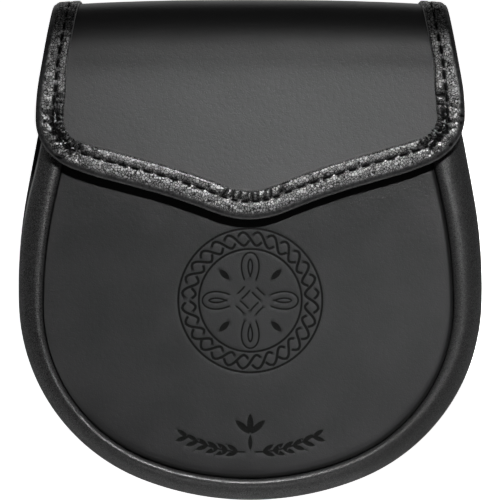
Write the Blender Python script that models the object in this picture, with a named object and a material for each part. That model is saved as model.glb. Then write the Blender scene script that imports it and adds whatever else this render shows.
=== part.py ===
"""Sporran pouch: a leather pouch with a domed front, a rolled gusset and a bound flap.

The pouch lies on its back. +Z is the way its front faces, +Y runs up the pouch to the fold of its flap,
and +X runs to the right as one looks at the front. The origin is the middle of the box that it fills, on
the surface that it rests on. Sizes are in millimetres, and sheets turn them to metres.

Every piece of leather is a sheet: one of its faces is worked out here, and Solidify gives it its
thickness. Sheets that are alike on both sides are made for their right half and mirrored.
"""

import math
from typing import NamedTuple

import bmesh
import bpy
from mathutils import Matrix, Vector

MM = 0.001

# Whole pouch
HEIGHT = 204.8  # bottom of the pouch to the top of the fold
BOTTOM = -HEIGHT / 2
TOP = HEIGHT / 2
GAP = 0.3  # clearance between pieces that touch

# Leather
BACK_THICK = 2.4
FRONT_THICK = 2.2
GUSSET_THICK = 1.5
FLAP_THICK = 2.0
BINDING_THICK = 1.0
LOOP_THICK = 2.0

# Back panel
BACK_TOP = 87.0  # upper edge, inside the fold
BACK_CORNER = 8.0  # radius of its two upper corners
LIFT = 6.5  # how far the strap loops hold the upper back off the surface
LIFT_FROM = -66.0  # the back lies flat below this height
LIFT_TO = 2.0  # and is fully raised above this one

# Front panel and gusset
MOUTH = 78.0  # upper edge of the front and of the gusset
SEAM_INSET = 8.6  # outline to the front's seam at the bottom of the pouch
SEAM_INSET_GAIN = 6.3  # how much more it is at the mouth
SEAM_INSET_POWER = 1.4
ROLL_TOP = 30.0  # crest of the gusset's roll at the bottom of the pouch
SLOPE = 4.5  # degrees that the front leans back under the flap, and the flap with it
SLOPE_FROM = -10.0  # height at which the pouch begins to thin
SLOPE_BEND = 36.0  # length over which it takes up the slope
ROLL_OUT = 2.4  # seam to that crest
ROLL_DROP = 2.2  # crest to the start of the seam allowance
SEAM_DEPTH = 7.5  # crest to the end of the seam allowance
EDGE_ROUND = 4.0  # radius of the front's turned edge
FRONT_DROP = 1.5  # how far the front's edge lies under the crest
DOME_RISE = 1.2  # crown of the front over its edge
BULGE_HEIGHT = 6.0  # widest line of the gusset above the back
TURN_IN = 2.5  # width of its turn on to the back
BACK_FLANGE = 6.5  # width sewn to the back
MARGIN = 0.3  # back panel's edge past the gusset at the bottom
MARGIN_GAIN = 0.7  # and how much further past it at the mouth

# Flap, cut flat: X across it and V up from its point, over the fold and down the back
FLAP_TIP = 12.45  # the point's height on the pouch
SIDE_HEADING = 99.93  # direction of its straight sides
FOLD_ARCS = ((40.0, 35.0), (10.0, 90.0), (9.25, 180.0))  # radius, heading at the arc's end
TAIL_END = 57.0  # height of the tail's lower edge, on the back
BINDING_END = 72.0  # height at which the binding stops, on the back
TAIL_PRESS = 1.3  # how much nearer the back the sewn end of the tail lies
ARCH = 1.2  # fall of the flap's sides below its middle
FOLD_ARCH = 2.8  # the same at the top of the fold
ARCH_HALF_WIDTH = 87.0
ARCH_POWER = 2.5

# Binding
EDGE_ROLL = FLAP_THICK / 2 + GAP + BINDING_THICK  # radius of the rolled edge
BINDING_WIDTH = 11.7
BINDING_UNDER = 10.5
GATHER_HEIGHT = 0.4
GATHER_STEP = 2.6  # half the spacing of the gathers

# Strap loops
LOOP_SPREAD = 43.0  # middle of the pouch to the middle of a loop
LOOP_WIDTH = 17.0
LOOP_MIDDLE = 29.0  # height of a loop's middle

# Catch
CATCH_HEIGHT = 31.0
CATCH_RADIUS = 6.0
CATCH_SIDES = 24


class Station(NamedTuple):
    """A point on an outline and the heading of the outline there, in radians from the first axis."""

    point: Vector
    heading: float
    bend: float  # radius of the arc that the point is on, 0 on a straight run

    def outward(self):
        return Vector((math.sin(self.heading), -math.cos(self.heading)))


class Run(NamedTuple):
    """One arc or straight run of an outline."""

    start: Vector
    heading: float
    radius: float
    length: float
    step: float

    def at(self, distance):
        if not self.radius:
            along = Vector((math.cos(self.heading), math.sin(self.heading)))
            return Station(self.start + along * distance, self.heading, 0.0)
        heading = self.heading + distance / self.radius
        shift = Vector((math.sin(heading), -math.cos(heading)))
        shift -= Vector((math.sin(self.heading), -math.cos(self.heading)))
        return Station(self.start + shift * self.radius, heading, self.radius)


class Outline:
    """A chain of tangent arcs and straight runs in a plane."""

    def __init__(self, start, heading=0.0):
        self.end = Station(Vector(start), math.radians(heading), 0.0)
        self.runs = []

    def add(self, radius, length, step):
        self.runs.append(Run(self.end.point, self.end.heading, radius, length, step))
        self.end = self.runs[-1].at(length)

    def arc(self, radius, heading, step=9.0):
        """Turns to a heading in degrees. A negative radius turns the other way."""
        self.add(radius, radius * (math.radians(heading) - self.end.heading), step)

    def line(self, length, step=9.0):
        self.add(0.0, length, step)

    def line_up_to(self, height, step=9.0):
        self.line((height - self.end.point.y) / math.sin(self.end.heading), step)

    def length(self):
        return sum(run.length for run in self.runs)

    def at(self, distance):
        for run in self.runs:
            if distance <= run.length:
                return run.at(distance)
            distance -= run.length
        return self.runs[-1].at(self.runs[-1].length + distance)

    def stations(self):
        found = [self.runs[0].at(0.0)]
        for run in self.runs:
            count = math.ceil(run.length / run.step)
            found += [run.at(run.length * part / count) for part in range(1, count + 1)]
        return found


def smooth_rise(value, start, end):
    """0 before start, 1 after end, and a smooth rise between them."""
    share = min(max((value - start) / (end - start), 0.0), 1.0)
    return share * share * (3.0 - 2.0 * share)


def quarter(centre, across, up, angles):
    """Points on a quarter of an ellipse, at angles in degrees from its upper end."""
    turns = (math.radians(angle) for angle in angles)
    return [(centre[0] + across * math.sin(turn), centre[1] + up * math.cos(turn)) for turn in turns]


# ---------------------------------------------------------------- making objects


def leather(name, colour, roughness):
    material = bpy.data.materials.new(name)
    material.use_nodes = True
    shader = material.node_tree.nodes["Principled BSDF"]
    shader.inputs["Base Color"].default_value = (*colour, 1.0)
    shader.inputs["Roughness"].default_value = roughness
    shader.inputs["Metallic"].default_value = 0.0
    return material


def add_object(name, mesh, material):
    mesh.shade_smooth()
    mesh.set_sharp_from_angle(angle=math.radians(50.0))
    mesh.materials.clear()
    mesh.materials.append(material)
    placed = bpy.data.objects.new(name, mesh)
    bpy.context.scene.collection.objects.link(placed)
    return placed


def grid_mesh(name, rows):
    """A sheet of faces through rows of points in millimetres. Faces look along row x column."""
    shape = bmesh.new()
    verts = [[shape.verts.new(Vector(point) * MM) for point in row] for row in rows]
    for row, following in zip(verts, verts[1:]):
        for column in range(len(row) - 1):
            shape.faces.new(
                (row[column], row[column + 1], following[column + 1], following[column])
            )
    bmesh.ops.remove_doubles(shape, verts=shape.verts, dist=0.00001)
    mesh = bpy.data.meshes.new(name)
    shape.to_mesh(mesh)
    shape.free()
    return mesh


def add_sheet(name, rows, thickness, material, side=-1.0, mirrored=True):
    """A leather piece from one face. side -1 lays the thickness behind it, 0 on both sides."""
    sheet = add_object(name, grid_mesh(name, rows), material)
    if mirrored:
        mirror = sheet.modifiers.new("Both sides", "MIRROR")
        mirror.merge_threshold = 0.00001
    solid = sheet.modifiers.new("Leather", "SOLIDIFY")
    solid.thickness = thickness * MM
    solid.offset = side
    solid.use_even_offset = True
    return sheet


# ---------------------------------------------------------------- pouch


def pouch_edge():
    """Right half of the outline of the pouch, from the middle of its bottom up its side."""
    edge = Outline((0.0, BOTTOM))
    edge.arc(121.4, 21.6)
    edge.arc(79.3, 88.1)
    edge.arc(217.0, 100.6)
    return edge


def back_level(height):
    """Level of the back panel's outer face at a height on the pouch."""
    return LIFT * smooth_rise(height, LIFT_FROM, LIFT_TO)


def seam_inset(height):
    """Outline to the front's seam."""
    share = max(height - BOTTOM, 0.0) / (MOUTH - BOTTOM)
    return SEAM_INSET + SEAM_INSET_GAIN * share**SEAM_INSET_POWER


def seam_stations():
    edge = pouch_edge()
    edge.line_up_to(MOUTH + 2.6, 8.0)
    found = []
    for station in edge.stations():
        inset = seam_inset(station.point.y)
        point = station.point - station.outward() * inset
        found.append((station, point, inset))
    return found


def horseshoe(points, rings, focus, place):
    """Rows of a sheet inside an outline that is open at its top.

    Each row runs from a point of the outline to the middle line: straight across above the focus, and
    to the focus below it. A ring is (millimetres, share): that far in, plus that share of the way.
    """
    rows = []
    for point in points:
        inner = Vector((0.0, max(point.y, focus)))
        reach = (inner - point).length
        row = []
        for distance, share in rings:
            run = distance + share * reach
            row.append(place(point.lerp(inner, run / reach), run / reach))
        rows.append(row)
    return rows


def add_back_panel(material):
    edge = pouch_edge()
    corner_rise = BACK_CORNER * (1.0 + math.cos(edge.end.heading))
    edge.line_up_to(BACK_TOP - corner_rise)
    edge.arc(BACK_CORNER, 180.0, 4.0)
    points = [station.point for station in edge.stations()]
    rings = ((0.0, 0.0), (9.0, 0.0), (0.0, 0.3), (0.0, 0.55), (0.0, 0.8), (0.0, 1.0))

    def place(point, _):
        return (point.x, point.y, back_level(point.y))

    rows = horseshoe(points, rings, focus=-20.0, place=place)
    return add_sheet("back_panel", rows, BACK_THICK, material)


def crest_level(height):
    """Level of the roll's crest: the pouch thins towards its mouth."""
    run = max(height - SLOPE_FROM, 0.0)
    bent = min(run, SLOPE_BEND)
    return ROLL_TOP - math.tan(math.radians(SLOPE)) * (run - bent + bent * bent / (2.0 * SLOPE_BEND))


def front_level(height, share):
    """Level of the front's outer face at a share of the way from its edge to its middle line."""
    return crest_level(height) - FRONT_DROP + DOME_RISE * (1.0 - (1.0 - share) ** 2)


def add_front_panel(material):
    points = [point for _, point, _ in seam_stations()]
    turned = quarter((EDGE_ROUND, 0.0), EDGE_ROUND, EDGE_ROUND, (-90.0, -58.0, -27.0))
    rings = [(0.0, 0.0)] + [(across, 0.0) for across, _ in turned]
    rings += [(5.5, 0.0), (0.0, 0.2), (0.0, 0.42), (0.0, 0.7), (0.0, 1.0)]
    drops = [SEAM_DEPTH - FRONT_DROP] + [EDGE_ROUND - up for _, up in turned] + [0.0] * 5

    def place(point, share):
        return (point.x, point.y, front_level(point.y, share))

    rows = horseshoe(points, rings, focus=-20.0, place=place)
    for row in rows:
        for index, drop in enumerate(drops):
            across, along, level = row[index]
            row[index] = (across, along, level - drop)
    return add_sheet("front_panel", [row[::-1] for row in rows], FRONT_THICK, material)


def gusset_floor(height):
    """Level of the gusset's flange, which lies on the back panel."""
    return back_level(height) + BACK_THICK + GAP


def gusset_section(width, crest, back):
    """Outer face of the gusset from its seam allowance, over the roll, to its flange on the back."""
    widest = back + BULGE_HEIGHT
    section = [(GAP, crest - SEAM_DEPTH)]
    section += quarter((ROLL_OUT, crest - ROLL_DROP), ROLL_OUT - GAP, ROLL_DROP, (-90.0, -45.0))
    section += quarter((ROLL_OUT, widest), width - ROLL_OUT, crest - widest, (0.0, 22.0, 45.0, 68.0, 90.0))
    section += quarter((width - TURN_IN, widest), TURN_IN, BULGE_HEIGHT, (135.0, 180.0))
    section.append((width - TURN_IN - BACK_FLANGE, back))
    return section


def add_gusset(material):
    rows = []
    for station, seam, inset in seam_stations():
        rise = smooth_rise(station.point.y, LIFT_FROM, MOUTH)
        width = inset - MARGIN - MARGIN_GAIN * rise
        crest = crest_level(station.point.y)
        back = gusset_floor(station.point.y)
        row = []
        for out, level in gusset_section(width, crest, back):
            point = seam + station.outward() * out
            share = (crest - level) / (crest - back)
            level = crest_level(point.y) * (1.0 - share) + gusset_floor(point.y) * share
            row.append((point.x, point.y, level))
        rows.append(row)
    return add_sheet("gusset", rows, GUSSET_THICK, material)


# ---------------------------------------------------------------- flap


def fold_line():
    """Side view of the flap's middle face, from its point: Y, and its level counted downwards."""
    bends = Outline((0.0, 0.0), SLOPE)
    for radius, heading in FOLD_ARCS:
        bends.arc(radius, heading)
    reach = bends.runs[2].start.x
    depth = bends.end.point.y
    tail_level = LIFT - GAP - EDGE_ROLL
    front_run = (TOP - FLAP_THICK / 2 - FLAP_TIP - reach) / math.cos(math.radians(SLOPE))
    rise = front_run * math.sin(math.radians(SLOPE))
    line = Outline((FLAP_TIP, -(tail_level + depth + rise)), SLOPE)
    line.line(front_run)
    for radius, heading in FOLD_ARCS:
        line.arc(radius, heading)
    line.line(line.end.point.x - TAIL_END)
    return line


FOLD = fold_line()
FOLD_START = FOLD.runs[0].length
FOLD_TOP = FOLD_START + FOLD.runs[1].length + FOLD.runs[2].length
FOLD_END = FOLD_TOP + FOLD.runs[3].length
TAIL_LENGTH = FOLD.length()
BINDING_LENGTH = TAIL_LENGTH - (BINDING_END - TAIL_END)


def arch_fall(across, along):
    """How far the flap lies below its middle line: least on its front, nothing on its tail."""
    fall = ARCH + (FOLD_ARCH - ARCH) * smooth_rise(along, FOLD_START, FOLD_TOP)
    fall *= 1.0 - smooth_rise(along, FOLD_TOP, FOLD_END)
    return fall * abs(across / ARCH_HALF_WIDTH) ** ARCH_POWER


def wrap(across, along, height):
    """A point of the flat flap, at a height above its middle face, placed on the folded flap."""
    station = FOLD.at(along)
    pressed = TAIL_PRESS * smooth_rise(along, BINDING_LENGTH + 2.0, TAIL_LENGTH - 5.0)
    height -= arch_fall(across, along) + pressed
    out = station.outward()
    return (across, station.point.x + out.x * height, -station.point.y - out.y * height)


def flap_edge(length, gather_step):
    """Right half of the flap's outline, cut flat, from its point up its side."""
    edge = Outline((0.0, 0.0))
    edge.arc(38.0, 22.0, gather_step)
    edge.arc(-290.0, 15.5)
    edge.line(28.0)
    edge.arc(21.0, 90.0, gather_step)
    edge.arc(100.0, SIDE_HEADING)
    edge.line_up_to(FOLD_START, 4.0)
    edge.line_up_to(FOLD_END, 3.2)
    edge.line_up_to(length)
    return edge


def add_flap_panel(material):
    edge = flap_edge(TAIL_LENGTH, 5.0)
    points = [station.point - station.outward() * EDGE_ROLL for station in edge.stations()]
    rings = ((0.0, 0.0), (0.0, 0.25), (0.0, 0.5), (0.0, 0.75), (0.0, 1.0))
    focus = edge.runs[4].start.y
    rows = horseshoe(points, rings, focus, lambda point, _: wrap(point.x, point.y, 0.0))
    return add_sheet("flap_panel", [row[::-1] for row in rows], FLAP_THICK, material, side=0.0)


def binding_section(raised):
    """Outer face of the binding, from its edge on the flap's face round to its edge underneath."""
    section = [(BINDING_WIDTH, EDGE_ROLL + raised), (BINDING_WIDTH * 0.6, EDGE_ROLL + raised)]
    for turn in (0.0, 45.0, 90.0, 135.0, 180.0):
        angle = math.radians(turn)
        section.append((EDGE_ROLL * (1.0 - math.sin(angle)), EDGE_ROLL * math.cos(angle)))
    section.append((BINDING_UNDER, -EDGE_ROLL))
    return section


def add_flap_binding(material):
    rows = []
    for index, station in enumerate(flap_edge(BINDING_LENGTH, GATHER_STEP).stations()):
        gathered = 0.0 < station.bend < 50.0 and index % 2
        row = []
        for inward, height in binding_section(GATHER_HEIGHT if gathered else 0.0):
            point = station.point - station.outward() * inward
            row.append(wrap(point.x, point.y, height))
        rows.append(row)
    return add_sheet("flap_binding", rows, BINDING_THICK, material)


# ---------------------------------------------------------------- back and catch


class LoopBend(NamedTuple):
    """A line across a strap loop: its distance from the loop's middle and its inner face's level."""

    along: float
    level: float


LOOP_TAB_LEVEL = LIFT - GAP
LOOP_BENDS = (
    LoopBend(25.0, LOOP_TAB_LEVEL),
    LoopBend(18.0, LOOP_TAB_LEVEL),
    LoopBend(16.4, 5.3),
    LoopBend(14.0, 2.9),
    LoopBend(12.0, LOOP_THICK),
)


def add_strap_loops(material):
    lower = [(-bend.along, bend.level) for bend in LOOP_BENDS]
    upper = [(-along, level) for along, level in reversed(lower)]
    rows = []
    for along, level in lower + upper:
        rows.append([(-LOOP_WIDTH / 2, along, level), (LOOP_WIDTH / 2, along, level)])
    made = []
    for name, side in (("strap_loop_left", -1.0), ("strap_loop_right", 1.0)):
        loop = add_sheet(name, rows, LOOP_THICK, material, mirrored=False)
        loop.location = Vector((side * LOOP_SPREAD, LOOP_MIDDLE, 0.0)) * MM
        made.append(loop)
    return made


def add_flap_catch(material):
    """The press catch between the front and the flap, as one plain disc."""
    lean = math.radians(SLOPE)
    axis = Vector((0.0, math.sin(lean), math.cos(lean)))
    on_front = Vector((0.0, CATCH_HEIGHT, front_level(CATCH_HEIGHT, 1.0)))
    under_flap = Vector(wrap(0.0, (CATCH_HEIGHT - FLAP_TIP) / math.cos(lean), -FLAP_THICK / 2))
    depth = (under_flap - on_front).dot(axis) - 2.0 * GAP
    centre = on_front + axis * (GAP + depth / 2.0)
    shape = bmesh.new()
    bmesh.ops.create_cone(
        shape,
        cap_ends=True,
        segments=CATCH_SIDES,
        radius1=CATCH_RADIUS * MM,
        radius2=CATCH_RADIUS * MM,
        depth=depth * MM,
        matrix=Matrix.Translation(centre * MM) @ Matrix.Rotation(-lean, 4, "X"),
    )
    mesh = bpy.data.meshes.new("flap_catch")
    shape.to_mesh(mesh)
    shape.free()
    return add_object("flap_catch", mesh, material)


def main():
    for old in list(bpy.data.objects):
        bpy.data.objects.remove(old)
    smooth_black = leather("smooth_leather", (0.022, 0.022, 0.023), 0.42)
    grained_black = leather("grained_leather", (0.016, 0.016, 0.017), 0.5)
    backing = leather("back_leather", (0.02, 0.02, 0.02), 0.6)
    metal = leather("catch_metal", (0.25, 0.25, 0.26), 0.35)
    metal.node_tree.nodes["Principled BSDF"].inputs["Metallic"].default_value = 1.0
    add_back_panel(backing)
    add_front_panel(smooth_black)
    add_gusset(grained_black)
    add_flap_panel(smooth_black)
    add_flap_binding(grained_black)
    add_strap_loops(backing)
    add_flap_catch(metal)


main()
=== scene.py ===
"""Looks of the sporran pouch: its leather, binding, stitches and engraving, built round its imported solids.

The pouch lies on its back: +Z is the way its front faces, and +Y runs up it to the fold of its flap. Shapes
are worked out in millimetres, in the frame of the solids, and become metres in the meshes.
"""

import logging
import random
from dataclasses import dataclass, field
from enum import Enum
from functools import partial
from math import atan2, ceil, cos, exp, floor, hypot, inf, pi, radians, sin, sqrt, tan, tau
from typing import Callable, Iterable, NamedTuple, Sequence

import bmesh
import bpy
import numpy as np
from bpy.types import Material, Node, NodeSocket, NodeTree, Object
from mathutils import Matrix, Vector, geometry, kdtree, noise


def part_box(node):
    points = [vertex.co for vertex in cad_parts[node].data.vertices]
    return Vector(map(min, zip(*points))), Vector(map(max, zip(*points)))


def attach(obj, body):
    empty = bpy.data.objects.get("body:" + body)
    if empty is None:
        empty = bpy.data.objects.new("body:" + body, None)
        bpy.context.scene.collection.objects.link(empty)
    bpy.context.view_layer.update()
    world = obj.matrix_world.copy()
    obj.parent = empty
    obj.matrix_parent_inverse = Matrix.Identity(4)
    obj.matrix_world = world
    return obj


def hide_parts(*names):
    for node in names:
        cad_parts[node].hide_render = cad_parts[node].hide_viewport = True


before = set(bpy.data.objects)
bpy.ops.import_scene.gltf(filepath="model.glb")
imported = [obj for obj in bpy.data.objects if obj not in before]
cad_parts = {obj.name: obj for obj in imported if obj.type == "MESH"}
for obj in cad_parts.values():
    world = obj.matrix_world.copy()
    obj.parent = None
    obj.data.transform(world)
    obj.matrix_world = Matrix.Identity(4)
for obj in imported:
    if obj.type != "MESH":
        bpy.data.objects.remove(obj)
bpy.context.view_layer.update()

MM = 0.001
BODY = "root"
LOG = logging.getLogger("sporran")

Span = tuple[float, float]
Triple = tuple[float, float, float]
Place = Callable[[float, float, float], Triple]


class Look(Enum):
    """The finishes, by their materials' names."""

    FRONT = "front_leather_skin"
    FLAP = "flap_leather_skin"
    WALL = "wall_grain"
    BINDING = "binding_grain"
    BACKING = "backing_grain"
    THREAD = "black_thread"
    METAL = "dark_metal"


# ---- curves and meshes


def ramp(value: float, start: float, end: float) -> float:
    """A smooth step from 0, where it starts, to 1, where it ends."""
    share = min(max((value - start) / (end - start), 0.0), 1.0)
    return share * share * (3.0 - 2.0 * share)


def hump(value: float, centre: float, reach: float) -> float:
    """A smooth rise and fall, which is 1 at its centre and 0 at its reach from there."""
    share = abs(value - centre) / reach
    return 0.0 if share >= 1.0 else cos(share * pi / 2.0) ** 2


def sines(degrees: Iterable[float]) -> list[Span]:
    """The sine and cosine of each of some angles."""
    return [(sin(radians(turn)), cos(radians(turn))) for turn in degrees]


def tangent(points: Sequence[Vector], index: int) -> Vector:
    """Direction of an open line at one of its points."""
    return (points[min(index + 1, len(points) - 1)] - points[max(index - 1, 0)]).normalized()


def ripple(point: Sequence[float], size: float, seed: float = 0.0) -> float:
    """Slow noise, from -1 to 1, at a point in millimetres, with waves of a size."""
    return noise.noise(Vector((point[0] / size + seed, point[1] / size, point[2] / size - seed)))


class Waves(NamedTuple):
    """Slow noise over a flat piece: its strength, the length of its waves and its seed."""

    strength: float
    size: float
    seed: float

    def at(self, across: float, up: float) -> float:
        """Its value at a place."""
        return self.strength * ripple((across, up, 0.0), self.size, self.seed)


class Rib(NamedTuple):
    """One place on an outline: where it is, which way is out, and how far along it lies."""

    point: Vector
    outward: Vector
    along: float

    def inside(self, distance: float) -> Vector:
        """The point at a distance inside the outline."""
        return self.point - self.outward * distance

    def mirrored(self) -> "Rib":
        """The same place on the left half."""
        flipped = Vector((-self.outward.x, self.outward.y))
        return Rib(Vector((-self.point.x, self.point.y)), flipped, -self.along)


class Run(NamedTuple):
    """One arc or straight run of an outline. A straight run has no radius."""

    start: Vector
    heading: float
    radius: float
    length: float
    along: float

    def at(self, distance: float) -> Rib:
        """A place on the run.

        Args:
            distance: how far it is from the start.

        Returns:
            The rib there.
        """
        heading = self.heading + (distance / self.radius if self.radius else 0.0)
        outward = Vector((sin(heading), -cos(heading)))
        if self.radius:
            before = Vector((sin(self.heading), -cos(self.heading)))
            point = self.start + (outward - before) * self.radius
        else:
            point = self.start + Vector((cos(heading), sin(heading))) * distance
        return Rib(point, outward, self.along + distance)


class Outline:
    """Right half of an outline, as a chain of tangent arcs and straight runs from its middle line."""

    def __init__(self, start: Sequence[float], heading: float = 0.0, arcs: Sequence[Span] = ()) -> None:
        """Starts the chain.

        Args:
            start: its first point, in millimetres.
            heading: its direction there, in degrees.
            arcs: the radius and last heading of each of its first arcs.
        """
        self.runs: list[Run] = []
        self.point = Vector(start)
        self.heading = radians(heading)
        self.length = 0.0
        for arc in arcs:
            self.turn(*arc)

    def add(self, radius: float, length: float) -> "Outline":
        """Adds a run.

        Args:
            radius: of its arc, or 0.
            length: of the run.

        Returns:
            The outline.
        """
        run = Run(self.point, self.heading, radius, length, self.length)
        self.runs.append(run)
        self.point = run.at(length).point
        self.heading += length / radius if radius else 0.0
        self.length += length
        return self

    def turn(self, radius: float, heading: float) -> "Outline":
        """Adds an arc that turns to a heading. A negative radius turns the other way."""
        return self.add(radius, radius * (radians(heading) - self.heading))

    def up_to(self, height: float) -> "Outline":
        """Goes straight on to a height."""
        return self.add(0.0, (height - self.point.y) / sin(self.heading))

    def to_middle(self) -> "Outline":
        """Goes straight across to the middle line."""
        return self.add(0.0, self.point.x)

    def at(self, distance: float) -> Rib:
        """The rib at a distance along the outline, or past its end."""
        run = next((run for run in self.runs if distance <= run.along + run.length), self.runs[-1])
        return run.at(distance - run.along)

    def on_half(self, distance: float) -> Rib:
        """The rib at a distance along the right half, or, where it is negative, along the left one."""
        rib = self.at(abs(distance))
        return rib if distance >= 0.0 else rib.mirrored()

    def ribs(self, pitch: float) -> list[Rib]:
        """Ribs on both halves.

        Args:
            pitch: the most that they are apart.

        Returns:
            The ribs from the left end round to the right end.
        """
        right = [self.runs[0].at(0.0)]
        for run in self.runs:
            count = ceil(run.length / pitch)
            right += [run.at(run.length * part / count) for part in range(1, count + 1)]
        return [rib.mirrored() for rib in reversed(right[1:])] + right


class Spot(NamedTuple):
    """A point of a surface, with what its leather needs to know there."""

    x: float
    y: float
    z: float
    # mark darkens and dulls engraved lines and the back's hidden face, and paints shade in grooves, stitch
    # dents, creases, gathers and on the wall's right side
    mark: float = 0.0
    grain: float = 1.0
    # cut makes places pale: raw cut edges, and painted highlight lines on the wall's upper left and the
    # binding's rolled edge
    cut: float = 0.0


class Surface:
    """Spots and faces gathered before they become an object."""

    def __init__(self) -> None:
        """Starts empty."""
        self.spots: list[Spot] = []
        self.faces: list[tuple[int, ...]] = []

    def add_row(self, row: Sequence[Spot]) -> list[int]:
        """Adds spots and gives their numbers."""
        self.spots += row
        return list(range(len(self.spots) - len(row), len(self.spots)))

    def add_grid(self, rows: Sequence[Sequence[Spot]], tube: bool = False) -> "Surface":
        """Adds a net of faces through rows of spots.

        Args:
            rows: the spots, as many in each row.
            tube: whether each row is closed and the first and last are filled.

        Returns:
            The surface.
        """
        numbers = [self.add_row(row) for row in rows]
        width = len(numbers[0])
        for row, following in zip(numbers, numbers[1:]):
            for column in range(width if tube else width - 1):
                after = (column + 1) % width
                self.faces.append((row[column], row[after], following[after], following[column]))
        if tube:
            self.faces += [tuple(reversed(numbers[0])), tuple(numbers[-1])]
        return self

    def make(self, name: str, look: Look, slot: str, weld: float = 0.002) -> Object:
        """Makes the object and rides it on the pouch.

        Args:
            name: the piece's name.
            look: its finish.
            slot: not used.
            weld: points nearer than this, in millimetres, are one.

        Returns:
            The object.
        """
        mesh = bpy.data.meshes.new(name)
        mesh.from_pydata([(spot.x * MM, spot.y * MM, spot.z * MM) for spot in self.spots], [], self.faces)
        for label in ("mark", "grain", "cut"):
            values = mesh.attributes.new(label, "FLOAT", "POINT")
            values.data.foreach_set("value", [getattr(spot, label) for spot in self.spots])
        shape = bmesh.new()
        shape.from_mesh(mesh)
        bmesh.ops.remove_doubles(shape, verts=shape.verts, dist=weld * MM)
        bmesh.ops.recalc_face_normals(shape, faces=shape.faces)
        shape.to_mesh(mesh)
        shape.free()
        mesh.shade_smooth()
        mesh.materials.append(bpy.data.materials[look.value])
        piece = bpy.data.objects.new(name, mesh)
        bpy.context.scene.collection.objects.link(piece)
        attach(piece, BODY)
        return piece


def thicken(section: Sequence[Sequence[float]], thick: float) -> list[Span]:
    """Turns an open section into a closed one.

    Args:
        section: points of the outer face, with the leather on their right.
        thick: the leather's thickness.

    Returns:
        The outer points and then the inner ones, going back.
    """
    inner = []
    for index, (across, level) in enumerate(section):
        before = section[max(index - 1, 0)]
        after = section[min(index + 1, len(section) - 1)]
        step = Vector((after[0] - before[0], after[1] - before[1])).normalized()
        inner.append((across + step.y * thick, level - step.x * thick))
    return [(point[0], point[1]) for point in section] + inner[::-1]


# ---- forms of the solids


@dataclass
class PouchForm:
    """Sizes and curves of the pouch's body, as in its solids."""

    edge_arcs: tuple[Span, ...] = ((121.4, 21.6), (79.3, 88.1), (217.0, 100.6))
    bottom: float = -102.4
    mouth: float = 78.0
    wall_past_mouth: float = 2.6
    back_top: float = 87.0
    back_corner: float = 8.0
    lift: float = 6.5
    lift_from: float = -66.0
    lift_to: float = 2.0
    back_thick: float = 2.4
    gap: float = 0.3
    roll_top: float = 30.0
    slope: float = 4.5
    slope_from: float = -10.0
    slope_bend: float = 36.0
    seam_inset: float = 9.1
    seam_gain: float = 6.1
    seam_gain_power: float = 1.4
    seam_skew: float = 0.85
    seam_depth: float = 7.5
    front_drop: float = 1.5
    dome_rise: float = 1.2
    focus: float = -20.0
    overlap: float = 2.0
    upper: list[tuple[float, ...]] = field(init=False)
    lower: list[tuple[float, ...]] = field(init=False)

    def __post_init__(self) -> None:
        """Measures the seam, so that any point of the front knows how far in it lies."""
        seam = [rib.point for rib in self.seam_ribs(1.0) if rib.along >= 0.0]
        low = [(point.x, self.focus - point.y) for point in seam if point.y <= self.focus + self.overlap]
        self.upper = list(zip(*((point.y, point.x) for point in seam if point.y >= self.focus)))
        self.lower = list(zip(*((atan2(*place), hypot(*place)) for place in low)))

    def edge(self) -> Outline:
        """Right half of the pouch's outline, up to where its side runs straight."""
        return Outline((0.0, self.bottom), arcs=self.edge_arcs)

    def back_edge(self) -> Outline:
        """Right half of the back panel's outline, round to the middle of its upper edge."""
        top = self.back_top - self.back_corner * (1.0 + cos(radians(self.edge_arcs[-1][1])))
        return self.edge().up_to(top).turn(self.back_corner, 180.0).to_middle()

    def back_level(self, height: float) -> float:
        """Level of the back panel's outer face."""
        return self.lift * ramp(height, self.lift_from, self.lift_to)

    def crest_level(self, height: float) -> float:
        """Level of the crest of the gusset's roll.

        Args:
            height: how far up the pouch.

        Returns:
            The level there.
        """
        run = max(height - self.slope_from, 0.0)
        bent = min(run, self.slope_bend)
        fall = run - bent + bent * bent / (2.0 * self.slope_bend)
        return self.roll_top - tan(radians(self.slope)) * fall

    def inset(self, rib: Rib) -> float:
        """Outline to the front's seam, which isn't quite in the middle."""
        up = max(rib.point.y - self.bottom, 0.0) / (self.mouth - self.bottom)
        return self.seam_inset + self.seam_gain * up**self.seam_gain_power + self.seam_skew * rib.outward.x

    def wall_ribs(self, pitch: float) -> list[Rib]:
        """Ribs of the outline as far up as the gusset goes."""
        return self.edge().up_to(self.mouth + self.wall_past_mouth).ribs(pitch)

    def seam_ribs(self, pitch: float) -> list[Rib]:
        """Ribs on the front's seam."""
        ribs = self.wall_ribs(pitch)
        return [Rib(rib.inside(self.inset(rib)), rib.outward, rib.along) for rib in ribs]

    def share_in(self, across: float, height: float) -> float:
        """How far in from the seam a point of the front lies.

        Args:
            across: its distance from the middle line.
            height: how far up the pouch it is.

        Returns:
            A share, from 0 at the seam to 1 on the middle line.
        """
        if height >= self.focus:
            return 1.0 - abs(across) / float(np.interp(height, *self.upper))
        reach = float(np.interp(atan2(abs(across), self.focus - height), *self.lower))
        return 1.0 - hypot(across, self.focus - height) / reach

    def rubbed(self, height: float) -> float:
        """How much the flap has polished the front there, from 0 to 1."""
        return min(max((height - self.slope_from) / self.slope_bend, 0.0), 1.0)

    def front_level(self, across: float, height: float) -> float:
        """Level of the front's outer face."""
        dome = 1.0 - (1.0 - max(self.share_in(across, height), 0.0)) ** 2
        return self.crest_level(height) - self.front_drop + self.dome_rise * dome


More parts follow.
